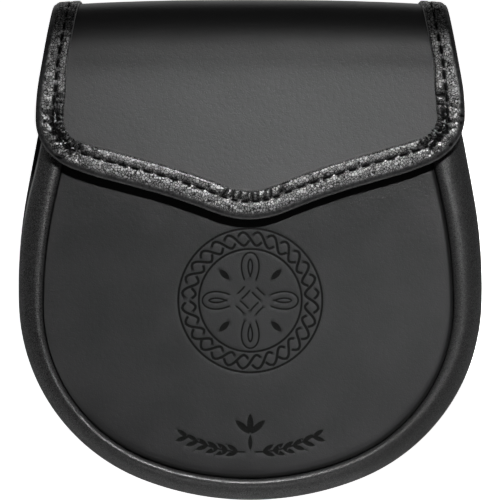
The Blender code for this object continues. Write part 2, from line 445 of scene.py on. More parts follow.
@dataclass
class FlapForm:
    """Sizes and curves of the flap, cut flat and then folded, as in its solids."""

    point_arcs: tuple[Span, ...] = ((38.0, 22.0), (-290.0, 15.5))
    point_straight: float = 28.0
    corner_arc: Span = (21.0, 90.0)
    side_arc: Span = (100.0, 99.93)
    tip: float = 12.45
    top: float = 102.4
    thick: float = 2.0
    slope: float = 4.5
    fold_arcs: tuple[Span, ...] = ((40.0, 35.0), (10.0, 90.0), (9.25, 180.0))
    tail_level: float = 3.9
    tail_end: float = 57.0
    binding_end: float = 72.0
    tail_press: float = 1.3
    arch: float = 1.2
    fold_arch: float = 2.8
    arch_half_width: float = 87.0
    arch_power: float = 2.5
    skew: float = 0.8
    skew_reach: float = 70.0
    corner_lift: float = 1.3
    corner_zone: Span = (62.0, 80.0)
    askew_zone: Span = (20.0, 75.0)
    fold: Outline = field(init=False)

    def __post_init__(self) -> None:
        """Works out the flap's side view, from its point over the fold to the end of its tail."""
        lean = radians(self.slope)
        bends = Outline((0.0, 0.0), self.slope, self.fold_arcs)
        front_run = (self.top - self.thick / 2 - self.tip - bends.runs[2].start.x) / cos(lean)
        rise = front_run * sin(lean)
        self.fold = Outline((self.tip, -(self.tail_level + bends.point.y + rise)), self.slope)
        self.fold.add(0.0, front_run)
        for arc in self.fold_arcs:
            self.fold.turn(*arc)
        self.fold.add(0.0, self.fold.point.x - self.tail_end)
        self.fold_start, _, self.fold_top, self.fold_end = (run.along for run in self.fold.runs[1:])
        self.tail_length = self.fold.length
        self.binding_length = self.tail_length - (self.binding_end - self.tail_end)

    def wrap(self, across: float, along: float, height: float) -> Triple:
        """A point of the flat flap, placed on the folded one.

        Args:
            across: distance from its middle line.
            along: distance from its point.
            height: height above its middle face.

        Returns:
            The point's place on the pouch.
        """
        lift = self.skew * across / self.skew_reach
        lift += self.corner_lift * ramp(abs(across), *self.corner_zone)
        rib = self.fold.at(along + lift * (1.0 - ramp(along, *self.askew_zone)))
        fall = self.arch + (self.fold_arch - self.arch) * ramp(along, self.fold_start, self.fold_top)
        fall *= 1.0 - ramp(along, self.fold_top, self.fold_end)
        pressed = self.tail_press * ramp(along, self.binding_length + 2.0, self.tail_length - 5.0)
        height -= fall * abs(across / self.arch_half_width) ** self.arch_power + pressed
        return (across, rib.point.x + rib.outward.x * height, -rib.point.y - rib.outward.y * height)

    def edge(self, length: float) -> Outline:
        """Right half of the flap's outline, cut flat, up to a length."""
        shoulder = Outline((0.0, 0.0), arcs=self.point_arcs).add(0.0, self.point_straight)
        return shoulder.turn(*self.corner_arc).turn(*self.side_arc).up_to(length)


# ---- finishes


Feed = NodeSocket | float | tuple[float, ...]


class NodeBench:
    """Adds and joins the nodes of one tree."""

    def __init__(self, tree: NodeTree) -> None:
        """Works on a tree."""
        self.tree = tree

    def feed(self, socket: NodeSocket, value: Feed) -> None:
        """Joins a socket to another, or sets its value.

        Args:
            socket: the input.
            value: an output to join, or a value.
        """
        if isinstance(value, NodeSocket):
            self.tree.links.new(value, socket)
        else:
            socket.default_value = value

    def add(self, kind: str, feeds: dict[str, Feed] | None = None, **settings: object) -> Node:
        """Adds a node.

        Args:
            kind: the node's type, without the words that all of them start with.
            feeds: what its named inputs get.
            settings: its properties.

        Returns:
            The node.
        """
        made = self.tree.nodes.new("ShaderNode" + kind)
        for name, value in settings.items():
            setattr(made, name, value)
        self.fill(made, feeds or {})
        return made

    def fill(self, node: Node, feeds: dict[str, Feed]) -> None:
        """Feeds a node's named inputs."""
        for name, value in feeds.items():
            self.feed(node.inputs[name], value)

    def join(self, kind: str, values: Sequence[Feed], **settings: object) -> NodeSocket:
        """Adds a node that works on values in the order of its inputs.

        Args:
            kind: the node's type.
            values: what its inputs get.
            settings: its properties.

        Returns:
            Its first output.
        """
        made = self.add(kind, **settings)
        for socket, value in zip(made.inputs, values):
            self.feed(socket, value)
        return made.outputs[0]

    def maths(self, operation: str, *values: Feed, clamp: bool = False) -> NodeSocket:
        """The result of a sum on numbers."""
        return self.join("Math", values, operation=operation, use_clamp=clamp)

    def vectors(self, operation: str, *values: Feed) -> NodeSocket:
        """The result of a sum on vectors."""
        return self.join("VectorMath", values, operation=operation)

    def spread(self, value: Feed, low: float, high: float, to_low: float, to_high: float) -> NodeSocket:
        """Maps a number from one range to another, smoothly and within its ends."""
        feeds = {"Value": value, "From Min": low, "From Max": high, "To Min": to_low, "To Max": to_high}
        return self.add("MapRange", feeds, interpolation_type="SMOOTHSTEP").outputs["Result"]

    def blend(self, share: Feed, first: Feed, second: Feed) -> NodeSocket:
        """Mixes two colours.

        Args:
            share: how much of the second, from 0 to 1.
            first: a colour, as three numbers or an output.
            second: the other.

        Returns:
            The mixed colour.
        """
        made = self.add("Mix", data_type="RGBA")
        for name, value in (("Factor_Float", share), ("A_Color", first), ("B_Color", second)):
            socket = next(socket for socket in made.inputs if socket.identifier == name)
            self.feed(socket, (*value, 1.0) if isinstance(value, tuple) else value)
        return next(socket for socket in made.outputs if socket.identifier == "Result_Color")

    def attribute(self, name: str) -> NodeSocket:
        """A named value of the surface's points."""
        return self.add("Attribute", attribute_name=name).outputs["Fac"]

    def times(self, first: Feed, second: Feed) -> NodeSocket:
        """The product of two numbers."""
        return self.maths("MULTIPLY", first, second)

    def coat(self, shader: Node, weight: Feed, roughness: float, ior: float) -> None:
        """Lays a clear coat on a shader."""
        self.fill(shader, {"Coat Weight": weight, "Coat Roughness": roughness, "Coat IOR": ior})

    def rest(self, value: Feed) -> NodeSocket:
        """What a share leaves of 1."""
        return self.maths("SUBTRACT", 1.0, value)

    def noise(self, place: Feed, scale: Feed, detail: float = 2.0, roughness: float = 0.5) -> Node:
        """Cloudy noise, as a node with a number and a colour."""
        feeds = {"Vector": place, "Scale": scale, "Detail": detail, "Roughness": roughness}
        return self.add("TexNoise", feeds)

    def position(self) -> NodeSocket:
        """The place of a point in its object's own frame, in metres."""
        return self.add("TexCoord").outputs["Object"]

    def relief(self, shader: Node, height: Feed, distance: float, strength: float = 1.0) -> None:
        """Raises a shader's surface by a height, at most by a distance in metres."""
        bump = self.add("Bump", {"Height": height, "Strength": strength, "Distance": distance})
        self.feed(shader.inputs["Normal"], bump.outputs[0])


class Effect(Enum):
    """Shader node groups that more than one finish uses, by name, inputs and outputs, all of them numbers."""

    PEBBLES = ("leather_pebbles", ("Scale", "Uneven"), ("Height", "Crease", "Tone"))
    SKIN = ("leather_skin", ("Pore Scale", "Mottle Scale"), ("Height", "Mottle"))


@dataclass
class Effects:
    """Builds each shared node group once and places it in materials. Its sizes are shares of a cell."""

    wander_fineness: float = 0.7
    plateau_end: float = 0.28
    crown_end: float = 0.75
    crown_rise: float = 0.5
    lowest_pebble: float = 0.55
    crease: Span = (0.02, 0.16)
    pore: Span = (0.05, 0.5)
    pore_rise: float = 0.5
    wrinkle_fineness: float = 0.35
    wrinkle_detail: float = 3.0
    mottle_detail: float = 4.0
    mottle_roughness: float = 0.6
    mottle: Span = (0.3, 0.7)
    groups: dict[Effect, NodeTree] = field(init=False)

    def __post_init__(self) -> None:
        """Builds the groups."""
        self.groups = {Effect.PEBBLES: self.pebbles(), Effect.SKIN: self.skin()}

    def start(self, effect: Effect) -> tuple[NodeBench, Node, Node]:
        """Starts a group.

        Args:
            effect: which one.

        Returns:
            The bench of its tree, its input node and its output node.
        """
        name, inputs, outputs = effect.value
        tree = bpy.data.node_groups.new(name, "ShaderNodeTree")
        for names, way in ((inputs, "INPUT"), (outputs, "OUTPUT")):
            for socket in names:
                tree.interface.new_socket(name=socket, in_out=way, socket_type="NodeSocketFloat")
        return NodeBench(tree), tree.nodes.new("NodeGroupInput"), tree.nodes.new("NodeGroupOutput")

    def pebbles(self) -> NodeTree:
        """Rounded pebbles of grain with creases between them.

        Returns:
            The group.
        """
        bench, given, result = self.start(Effect.PEBBLES)
        scale, uneven = given.outputs["Scale"], given.outputs["Uneven"]
        place = bench.position()
        wander = bench.noise(place, bench.times(scale, self.wander_fineness))
        push = bench.vectors("SUBTRACT", wander.outputs["Color"], (0.5, 0.5, 0.5))
        reach = bench.add("VectorMath", {"Scale": bench.maths("DIVIDE", uneven, scale)}, operation="SCALE")
        bench.feed(reach.inputs[0], push)
        cells = {"Vector": bench.vectors("ADD", place, reach.outputs[0]), "Scale": scale}
        edge = bench.add("TexVoronoi", cells, feature="DISTANCE_TO_EDGE").outputs["Distance"]
        cell = bench.add("TexVoronoi", cells, feature="F1")
        tone = bench.add("SeparateColor", {"Color": cell.outputs["Color"]}).outputs["Red"]
        plateau = bench.spread(edge, 0.0, self.plateau_end, 0.0, 1.0)
        crown = bench.spread(cell.outputs["Distance"], 0.0, self.crown_end, self.crown_rise, 0.0)
        tall = bench.spread(tone, 0.0, 1.0, self.lowest_pebble, 1.0)
        bench.feed(result.inputs["Height"], bench.times(bench.maths("ADD", plateau, crown), tall))
        bench.feed(result.inputs["Crease"], bench.spread(edge, *self.crease, 1.0, 0.0))
        bench.feed(result.inputs["Tone"], tone)
        return bench.tree

    def skin(self) -> NodeTree:
        """The fine pores, wrinkles and slow unevenness of smooth leather.

        Returns:
            The group.
        """
        bench, given, result = self.start(Effect.SKIN)
        fine = given.outputs["Pore Scale"]
        place = bench.position()
        pores = bench.add("TexVoronoi", {"Vector": place, "Scale": fine}, feature="F1").outputs["Distance"]
        wrinkles = bench.noise(place, bench.times(fine, self.wrinkle_fineness), self.wrinkle_detail)
        mottle = bench.noise(place, given.outputs["Mottle Scale"], self.mottle_detail, self.mottle_roughness)
        dots = bench.spread(pores, *self.pore, 0.0, self.pore_rise)
        height = bench.maths("ADD", dots, wrinkles.outputs[0])
        bench.feed(result.inputs["Height"], height)
        bench.feed(result.inputs["Mottle"], bench.spread(mottle.outputs[0], *self.mottle, 0.0, 1.0))
        return bench.tree

    def place(self, bench: NodeBench, effect: Effect, feeds: dict[str, float]) -> Node:
        """Places a group in a material, with values for its inputs."""
        return bench.add("Group", feeds, node_tree=self.groups[effect])


def new_shader(name: str) -> tuple[Material, NodeBench, Node]:
    """Starts a material.

    Args:
        name: its name.

    Returns:
        The material, its bench and its Principled BSDF.
    """
    material = bpy.data.materials.new(name)
    material.use_nodes = True
    return material, NodeBench(material.node_tree), material.node_tree.nodes["Principled BSDF"]


@dataclass(frozen=True)
class SmoothLeather:
    """Smooth black leather with fine pores. Engraved places are darker and duller, and so is the painted
    shade in the front's seam groove.
    """

    look: Look
    shade: Triple = (0.006, 0.006, 0.0064)
    pale: Triple = (0.01, 0.01, 0.0105)
    # colour of engraved lines, and of the painted shade in the front's seam groove
    cut: Triple = (0.001, 0.001, 0.001)
    roughness: float = 0.4
    rough_swing: float = 0.02
    cut_roughness: float = 1.0
    polish: float = 0.1
    ior: float = 1.5
    coated: bool = False
    coat_wear: float = 0.7
    coat_ior: float = 1.27
    pore_scale: float = 1500.0
    mottle_scale: float = 60.0
    relief: float = 0.00006

    def make(self, effects: Effects) -> None:
        """Makes the material.

        Args:
            effects: the shared groups.
        """
        _, bench, shader = new_shader(self.look.value)
        fine = {"Pore Scale": self.pore_scale, "Mottle Scale": self.mottle_scale}
        skin = effects.place(bench, Effect.SKIN, fine)
        mottle = skin.outputs["Mottle"]
        mark = bench.attribute("mark")
        rubbed = bench.rest(bench.attribute("grain"))
        plain = bench.blend(mottle, self.shade, self.pale)
        low, high = self.roughness - self.rough_swing, self.roughness + self.rough_swing
        even = bench.maths("MULTIPLY_ADD", rubbed, -self.polish, bench.spread(mottle, 0.0, 1.0, low, high))
        rough = bench.maths("MULTIPLY_ADD", mark, self.cut_roughness - self.roughness, even)
        colour = bench.blend(mark, plain, self.cut)
        bench.fill(shader, {"Base Color": colour, "Roughness": rough, "IOR": self.ior})
        if self.coated:
            left = bench.maths("MULTIPLY_ADD", rubbed, -self.coat_wear, 1.0)
            bench.coat(shader, bench.times(left, bench.rest(mark)), self.roughness, self.coat_ior)
        bench.relief(shader, skin.outputs["Height"], self.relief)


@dataclass(frozen=True)
class GrainedLeather:
    """Black pebbled leather, duller in its creases, where painted shade also darkens it. The gloss is that of
    its dullest and brightest pebble.
    """

    look: Look
    scale: float
    relief: float
    uneven: float = 0.8
    pores_a_pebble: float = 3.0
    mottle_scale: float = 90.0
    crown: Triple = (0.016, 0.016, 0.0165)
    low_crown: float = 0.7
    # crease colour: painted shade in the creases and marked places
    crease: Triple = (0.002, 0.002, 0.002)
    # pale colour of raw cut edges, and of painted highlight lines
    cut: Triple = (0.3, 0.3, 0.3)
    roughness: float = 0.4
    rough_swing: float = 0.04
    crease_roughness: float = 0.9
    gloss: Span | None = None
    gloss_tones: Span = (0.1, 0.9)
    gloss_without_grain: float = 0.12
    gloss_roughness: float = 0.42
    gloss_ior: float = 2.0
    ior: float = 1.5
    full_relief: float = 2.0
    pore_relief: float = 0.12

    def make(self, effects: Effects) -> None:
        """Makes the material.

        Args:
            effects: the shared groups.
        """
        _, bench, shader = new_shader(self.look.value)
        pebbles = effects.place(bench, Effect.PEBBLES, {"Scale": self.scale, "Uneven": self.uneven})
        fine = {"Pore Scale": self.scale * self.pores_a_pebble, "Mottle Scale": self.mottle_scale}
        skin = effects.place(bench, Effect.SKIN, fine)
        tone = pebbles.outputs["Tone"]
        grain = bench.attribute("grain")
        crease = bench.times(pebbles.outputs["Crease"], grain)
        valley = bench.maths("MAXIMUM", crease, bench.attribute("mark"))
        crown = bench.blend(tone, tuple(self.low_crown * part for part in self.crown), self.crown)
        # creases and marked places take the crease colour: painted shade
        grained = bench.blend(valley, crown, self.crease)
        low, high = self.roughness - self.rough_swing, self.roughness + self.rough_swing
        even = bench.spread(skin.outputs["Mottle"], 0.0, 1.0, low, high)
        rough = bench.maths("MULTIPLY_ADD", valley, self.crease_roughness - self.roughness, even)
        colour = bench.blend(bench.attribute("cut"), grained, self.cut)
        bench.fill(shader, {"Base Color": colour, "Roughness": rough, "IOR": self.ior})
        if self.gloss:
            bare = self.gloss_without_grain
            kept = bench.maths("MULTIPLY_ADD", grain, 1.0 - bare, bare)
            worn = bench.times(bench.spread(tone, *self.gloss_tones, *self.gloss), kept)
            bench.coat(shader, bench.times(worn, bench.rest(valley)), self.gloss_roughness, self.gloss_ior)
        share = bench.maths("MULTIPLY", grain, self.full_relief, clamp=True)
        tall = bench.times(pebbles.outputs["Height"], share)
        height = bench.maths("MULTIPLY_ADD", skin.outputs["Height"], self.pore_relief, tall)
        bench.relief(shader, height, self.relief)


@dataclass(frozen=True)
class SewingThread:
    """Waxed black thread with a fine twist."""

    look: Look
    shade: Triple = (0.001, 0.001, 0.001)
    pale: Triple = (0.004, 0.004, 0.004)
    twist_scale: float = 1500.0
    twist_wander: float = 2.0
    fuzz_scale: float = 4000.0
    mottle_scale: float = 200.0
    roughness: Span = (0.75, 0.88)
    ior: float = 1.18
    relief: float = 0.00008
    relief_strength: float = 0.6

    def make(self, effects: Effects) -> None:
        """Makes the material.

        Args:
            effects: the shared groups.
        """
        _, bench, shader = new_shader(self.look.value)
        turns = {"Vector": bench.position(), "Scale": self.twist_scale, "Distortion": self.twist_wander}
        strand = bench.add("TexWave", turns).outputs["Fac"]
        fine = {"Pore Scale": self.fuzz_scale, "Mottle Scale": self.mottle_scale}
        skin = effects.place(bench, Effect.SKIN, fine)
        colour = bench.blend(strand, self.shade, self.pale)
        rough = bench.spread(skin.outputs["Mottle"], 0.0, 1.0, *self.roughness)
        bench.fill(shader, {"Base Color": colour, "Roughness": rough, "IOR": self.ior})
        bench.relief(shader, strand, self.relief, self.relief_strength)


@dataclass(frozen=True)
class BrushedMetal:
    """Dark plated metal with fine turning marks."""

    look: Look
    shade: Triple = (0.2, 0.2, 0.21)
    pale: Triple = (0.34, 0.34, 0.35)
    mark_scale: float = 3000.0
    mottle_scale: float = 500.0
    roughness: Span = (0.26, 0.4)
    relief: float = 0.00002
    relief_strength: float = 0.4

    def make(self, effects: Effects) -> None:
        """Makes the material.

        Args:
            effects: the shared groups.
        """
        _, bench, shader = new_shader(self.look.value)
        fine = {"Pore Scale": self.mark_scale, "Mottle Scale": self.mottle_scale}
        skin = effects.place(bench, Effect.SKIN, fine)
        mottle = skin.outputs["Mottle"]
        colour = bench.blend(mottle, self.shade, self.pale)
        rough = bench.spread(mottle, 0.0, 1.0, *self.roughness)
        bench.fill(shader, {"Base Color": colour, "Roughness": rough, "Metallic": 1.0})
        bench.relief(shader, skin.outputs["Height"], self.relief, self.relief_strength)


# ---- engraved ornament


class Stroke(NamedTuple):
    """A line cut into the leather: its middle line and half its width at each point."""

    points: list[Vector]
    half_widths: list[float]


class Strand(NamedTuple):
    """One closed cord of a knot, and half the width of its band. A single line has no width."""

    points: list[Vector]
    half_band: float

    def edge(self, side: float) -> list[Vector]:
        """The line along one side of the band.

        Args:
            side: 1 or -1 for a side, 0 for the middle.

        Returns:
            Its points.
        """
        moved = []
        for index, point in enumerate(self.points):
            after = self.points[(index + 1) % len(self.points)]
            step = (after - self.points[index - 1]).normalized()
            moved.append(point + Vector((-step.y, step.x)) * (side * self.half_band))
        return moved


@dataclass
class Knotwork:
    """Cords that pass over and under each other by turns."""

    strands: list[Strand]
    gap: float
    line_half: float
    reach: float = 3.0

    def crossings(self) -> list[tuple[tuple[int, int], tuple[int, int]]]:
        """Finds where two cords cross.

        Returns:
            Pairs of (strand, point number).
        """
        parts = [
            (strand, index, cord.points[index], cord.points[(index + 1) % len(cord.points)])
            for strand, cord in enumerate(self.strands)
            for index in range(len(cord.points))
        ]
        found = []
        for number, (strand, index, start, end) in enumerate(parts):
            for other_strand, other, first, last in parts[number + 2:]:
                if (start - first).length > self.reach:
                    continue
                if geometry.intersect_line_line_2d(start, end, first, last):
                    if start != last and end != first:
                        found.append(((strand, index), (other_strand, other)))
        return found

    def under_points(self) -> list[list[int]]:
        """Finds where each cord passes under.

        Returns:
            For each cord, the numbers of its points there.
        """
        passes: list[list[tuple[int, int]]] = [[] for _ in self.strands]
        for crossing, pair in enumerate(self.crossings()):
            for strand, index in pair:
                passes[strand].append((index, crossing))
        over: set[int] = set()
        under: list[list[int]] = []
        for found in passes:
            found.sort()
            known = [place for place, (_, crossing) in enumerate(found) if crossing in over]
            shift = (known[0] + 1) % 2 if known else 0
            dips = []
            for place, (index, crossing) in enumerate(found):
                if (place + shift) % 2 == 0 and crossing not in over:
                    over.add(crossing)
                else:
                    dips.append(index)
            under.append(dips)
        return under

    def strokes(self) -> list[Stroke]:
        """The lines of the cords, broken where they pass under.

        Returns:
            Their strokes.
        """
        made = []
        for cord, dips in zip(self.strands, self.under_points()):
            centres = [cord.points[index] for index in dips]
            hidden = [any((point - centre).length < self.gap for centre in centres) for point in cord.points]
            count = len(hidden)
            first = hidden.index(True) if True in hidden else 0
            for side in (-1.0, 1.0) if cord.half_band else (0.0,):
                line = cord.edge(side)
                run: list[Vector] = []
                for step in range(count + 1):
                    index = (first + step) % count
                    if hidden[index] or step == count:
                        if len(run) > 2:
                            made.append(Stroke(run, [self.line_half] * len(run)))
                        run = []
                    else:
                        run.append(line[index])
        return made


@dataclass
class Ornament:
    """A generic engraved ornament: a plaited ring round a four-looped knot, with leaf sprays below.

    A leaf's size is its length and half its greatest width.
    """

    centre: float = -20.6
    ring_radius: float = 29.4
    inner_radius: float = 21.0
    line_half: float = 0.45
    fine_half: float = 0.36
    plait_waves: int = 14
    plait_swing: float = 2.7
    plait_half: float = 0.55
    plait_gap: float = 1.5
    knot_reach: float = 11.2
    knot_turn: float = 7.0
    knot_band: float = 1.35
    knot_gap: float = 2.3
    knot_points: int = 260
    stud_radius: float = 12.2
    stud_leaf: Span = (5.6, 1.15)
    stud_angles: tuple[float, ...] = (45.0, 135.0, 225.0, 315.0)
    spray_height: float = -82.5
    spray_start: float = 2.5
    spray_reach: float = 27.0
    spray_rise: float = 7.0
    stem_steps: int = 48
    first_leaf: int = 5
    steps_a_leaf: int = 8
    leaf_pairs: int = 6
    spray_leaf: Span = (5.2, 0.85)
    upper_lean: float = 56.0
    lower_lean: float = 72.0
    bud_rise: float = 7.5
    bud_angles: tuple[float, ...] = (90.0, 42.0, 138.0)
    bud_leaf: Span = (8.0, 1.25)
    stalk_drop: float = 0.6
    stalk_leaf: Span = (6.0, 0.8)
    leaf_fullness: float = 0.7
    leaf_point: float = 0.08
    sample: float = 0.5

    def polar(self, radius: float, angle: float) -> Vector:
        """A point at a radius and angle from the middle."""
        return Vector((radius * cos(angle), self.centre + radius * sin(angle)))

    def circle(self, radius: float) -> Stroke:
        """A closed circle about the middle of the ornament.

        Args:
            radius: of its line.

        Returns:
            Its stroke.
        """
        count = round(tau * radius / self.sample)
        points = [self.polar(radius, tau * index / count) for index in range(count + 1)]
        return Stroke(points, [self.line_half] * len(points))

    def plait(self) -> Knotwork:
        """Two cords that weave round the ring.

        Returns:
            Their knotwork.
        """
        middle = (self.ring_radius + self.inner_radius) / 2.0
        count = round(tau * middle / self.sample)
        cords = []
        for side in (-1.0, 1.0):
            points = []
            for index in range(count):
                angle = tau * (index + 0.5) / count
                swing = side * self.plait_swing * sin(self.plait_waves * angle)
                points.append(self.polar(middle + swing, angle))
            cords.append(Strand(points, 0.0))
        return Knotwork(cords, self.plait_gap, self.plait_half)

    def knot(self) -> Knotwork:
        """One cord in four crossing loops.

        Returns:
            Its knotwork.
        """
        points = []
        for index in range(self.knot_points):
            turn = tau * (index + 0.5) / self.knot_points
            across = self.knot_reach * cos(turn) + self.knot_turn * cos(3.0 * turn)
            up = self.knot_reach * sin(turn) - self.knot_turn * sin(3.0 * turn)
            points.append(Vector((across, self.centre + up)))
        return Knotwork([Strand(points, self.knot_band)], self.knot_gap, self.fine_half)

    def leaf(self, root: Vector, angle: float, size: Span) -> Stroke:
        """A leaf, as a line that swells and closes again.

        Args:
            root: where it starts.
            angle: its direction, in degrees.
            size: its length and half its greatest width.

        Returns:
            Its stroke.
        """
        length, half = size
        way = Vector((cos(radians(angle)), sin(radians(angle))))
        count = round(length / self.sample)
        shares = [index / count for index in range(count + 1)]
        swell = [sin(pi * share) ** self.leaf_fullness for share in shares]
        points = [root + way * (length * share) for share in shares]
        return Stroke(points, [half * full + self.leaf_point for full in swell])

    def sprays(self) -> list[Stroke]:
        """Two curved sprigs of leaves under the ring, with a bud between them and the ring.

        Returns:
            Their strokes.
        """
        made = []
        for side in (-1.0, 1.0):
            stem = []
            for index in range(self.stem_steps + 1):
                share = index / self.stem_steps
                across = self.spray_start + (self.spray_reach - self.spray_start) * share
                stem.append(Vector((side * across, self.spray_height + self.spray_rise * share * share)))
            made.append(Stroke(stem, [self.fine_half] * len(stem)))
            for number in range(self.leaf_pairs):
                root = stem[self.first_leaf + number * self.steps_a_leaf]
                made.append(self.leaf(root, 90.0 - side * self.upper_lean, self.spray_leaf))
                made.append(self.leaf(root, side * self.lower_lean - 90.0, self.spray_leaf))
        bud = Vector((0.0, self.spray_height + self.bud_rise))
        made += [self.leaf(bud, angle, self.bud_leaf) for angle in self.bud_angles]
        made.append(self.leaf(bud - Vector((0.0, self.stalk_drop)), 270.0, self.stalk_leaf))
        return made

    def studs(self) -> list[Stroke]:
        """Small leaves between the knot's loops."""
        roots = [(self.polar(self.stud_radius, radians(angle)), angle) for angle in self.stud_angles]
        return [self.leaf(root, angle, self.stud_leaf) for root, angle in roots]

    def strokes(self) -> list[Stroke]:
        """Every line of the ornament."""
        made = [self.circle(self.ring_radius), self.circle(self.inner_radius)]
        return made + self.plait().strokes() + self.knot().strokes() + self.studs() + self.sprays()


@dataclass
class CutLines:
    """Tells how deep the ornament is cut at any point of the front. Its lines have sloping sides."""

    strokes: Sequence[Stroke]
    slant: float
    candidates: int = 3
    least_half: float = 0.02
    halves: list[float] = field(init=False)
    tree: kdtree.KDTree = field(init=False)

    def __post_init__(self) -> None:
        """Lays out the strokes, so that the nearest is found quickly."""
        samples = [(point, half) for stroke in self.strokes for point, half in zip(*stroke)]
        self.halves = [half for _, half in samples]
        self.tree = kdtree.KDTree(len(samples))
        for number, (point, _) in enumerate(samples):
            self.tree.insert(point.to_3d(), number)
        self.tree.balance()

    def clearance(self, point: Vector) -> float:
        """Distance from a point to the side of the nearest line, negative inside it."""
        near = self.tree.find_n(point.to_3d(), self.candidates)
        return min(distance - self.halves[number] for _, number, distance in near)

    def cut(self, point: Vector) -> float:
        """Share of the full depth at a point."""
        return 1.0 - ramp(self.clearance(point), -self.slant, self.slant)

    def rails(self) -> list[Vector]:
        """Points along both sides of each line, outside and inside its slopes, for the mesh to follow.

        Returns:
            The points.
        """
        made = []
        for points, halves in self.strokes:
            for index, (point, half) in enumerate(zip(points, halves)):
                step = tangent(points, index)
                normal = Vector((-step.y, step.x))
                reaches = (half + self.slant, max(half - self.slant, self.least_half))
                made += [point + normal * (side * reach) for side in (-1.0, 1.0) for reach in reaches]
        return made


# ---- body of the pouch


BEND_STEPS = 6
SLACK_STEPS = 5


class RimShape(NamedTuple):
    """How the front's edge turns down: radius of its bend, and width and lean of the slack before it."""

    bend: float
    slack: float
    lean: float

    def mixed(self, other: "RimShape", share: float) -> "RimShape":
        """A shape between this one and another."""
        return RimShape(*(mine + (theirs - mine) * share for mine, theirs in zip(self, other)))

    def steps(self) -> list[Span]:
        """The rim from the bend's lower end to where the front runs flat.

        Returns:
            Points as (distance in from the seam, drop).
        """
        lean = radians(self.lean)
        start = self.bend * (1.0 - sin(lean))
        fall = self.slack * tan(lean) / 2.0
        made = []
        for part in range(BEND_STEPS + 1):
            angle = pi / 2.0 + (lean - pi / 2.0) * part / BEND_STEPS
            across = self.bend * (1.0 - sin(angle))
            made.append((across, fall + self.bend * (cos(lean) - cos(angle))))
        for part in range(1, SLACK_STEPS + 1):
            share = part / SLACK_STEPS
            made.append((start + self.slack * share, fall * (1.0 - share) ** 2))
        return made


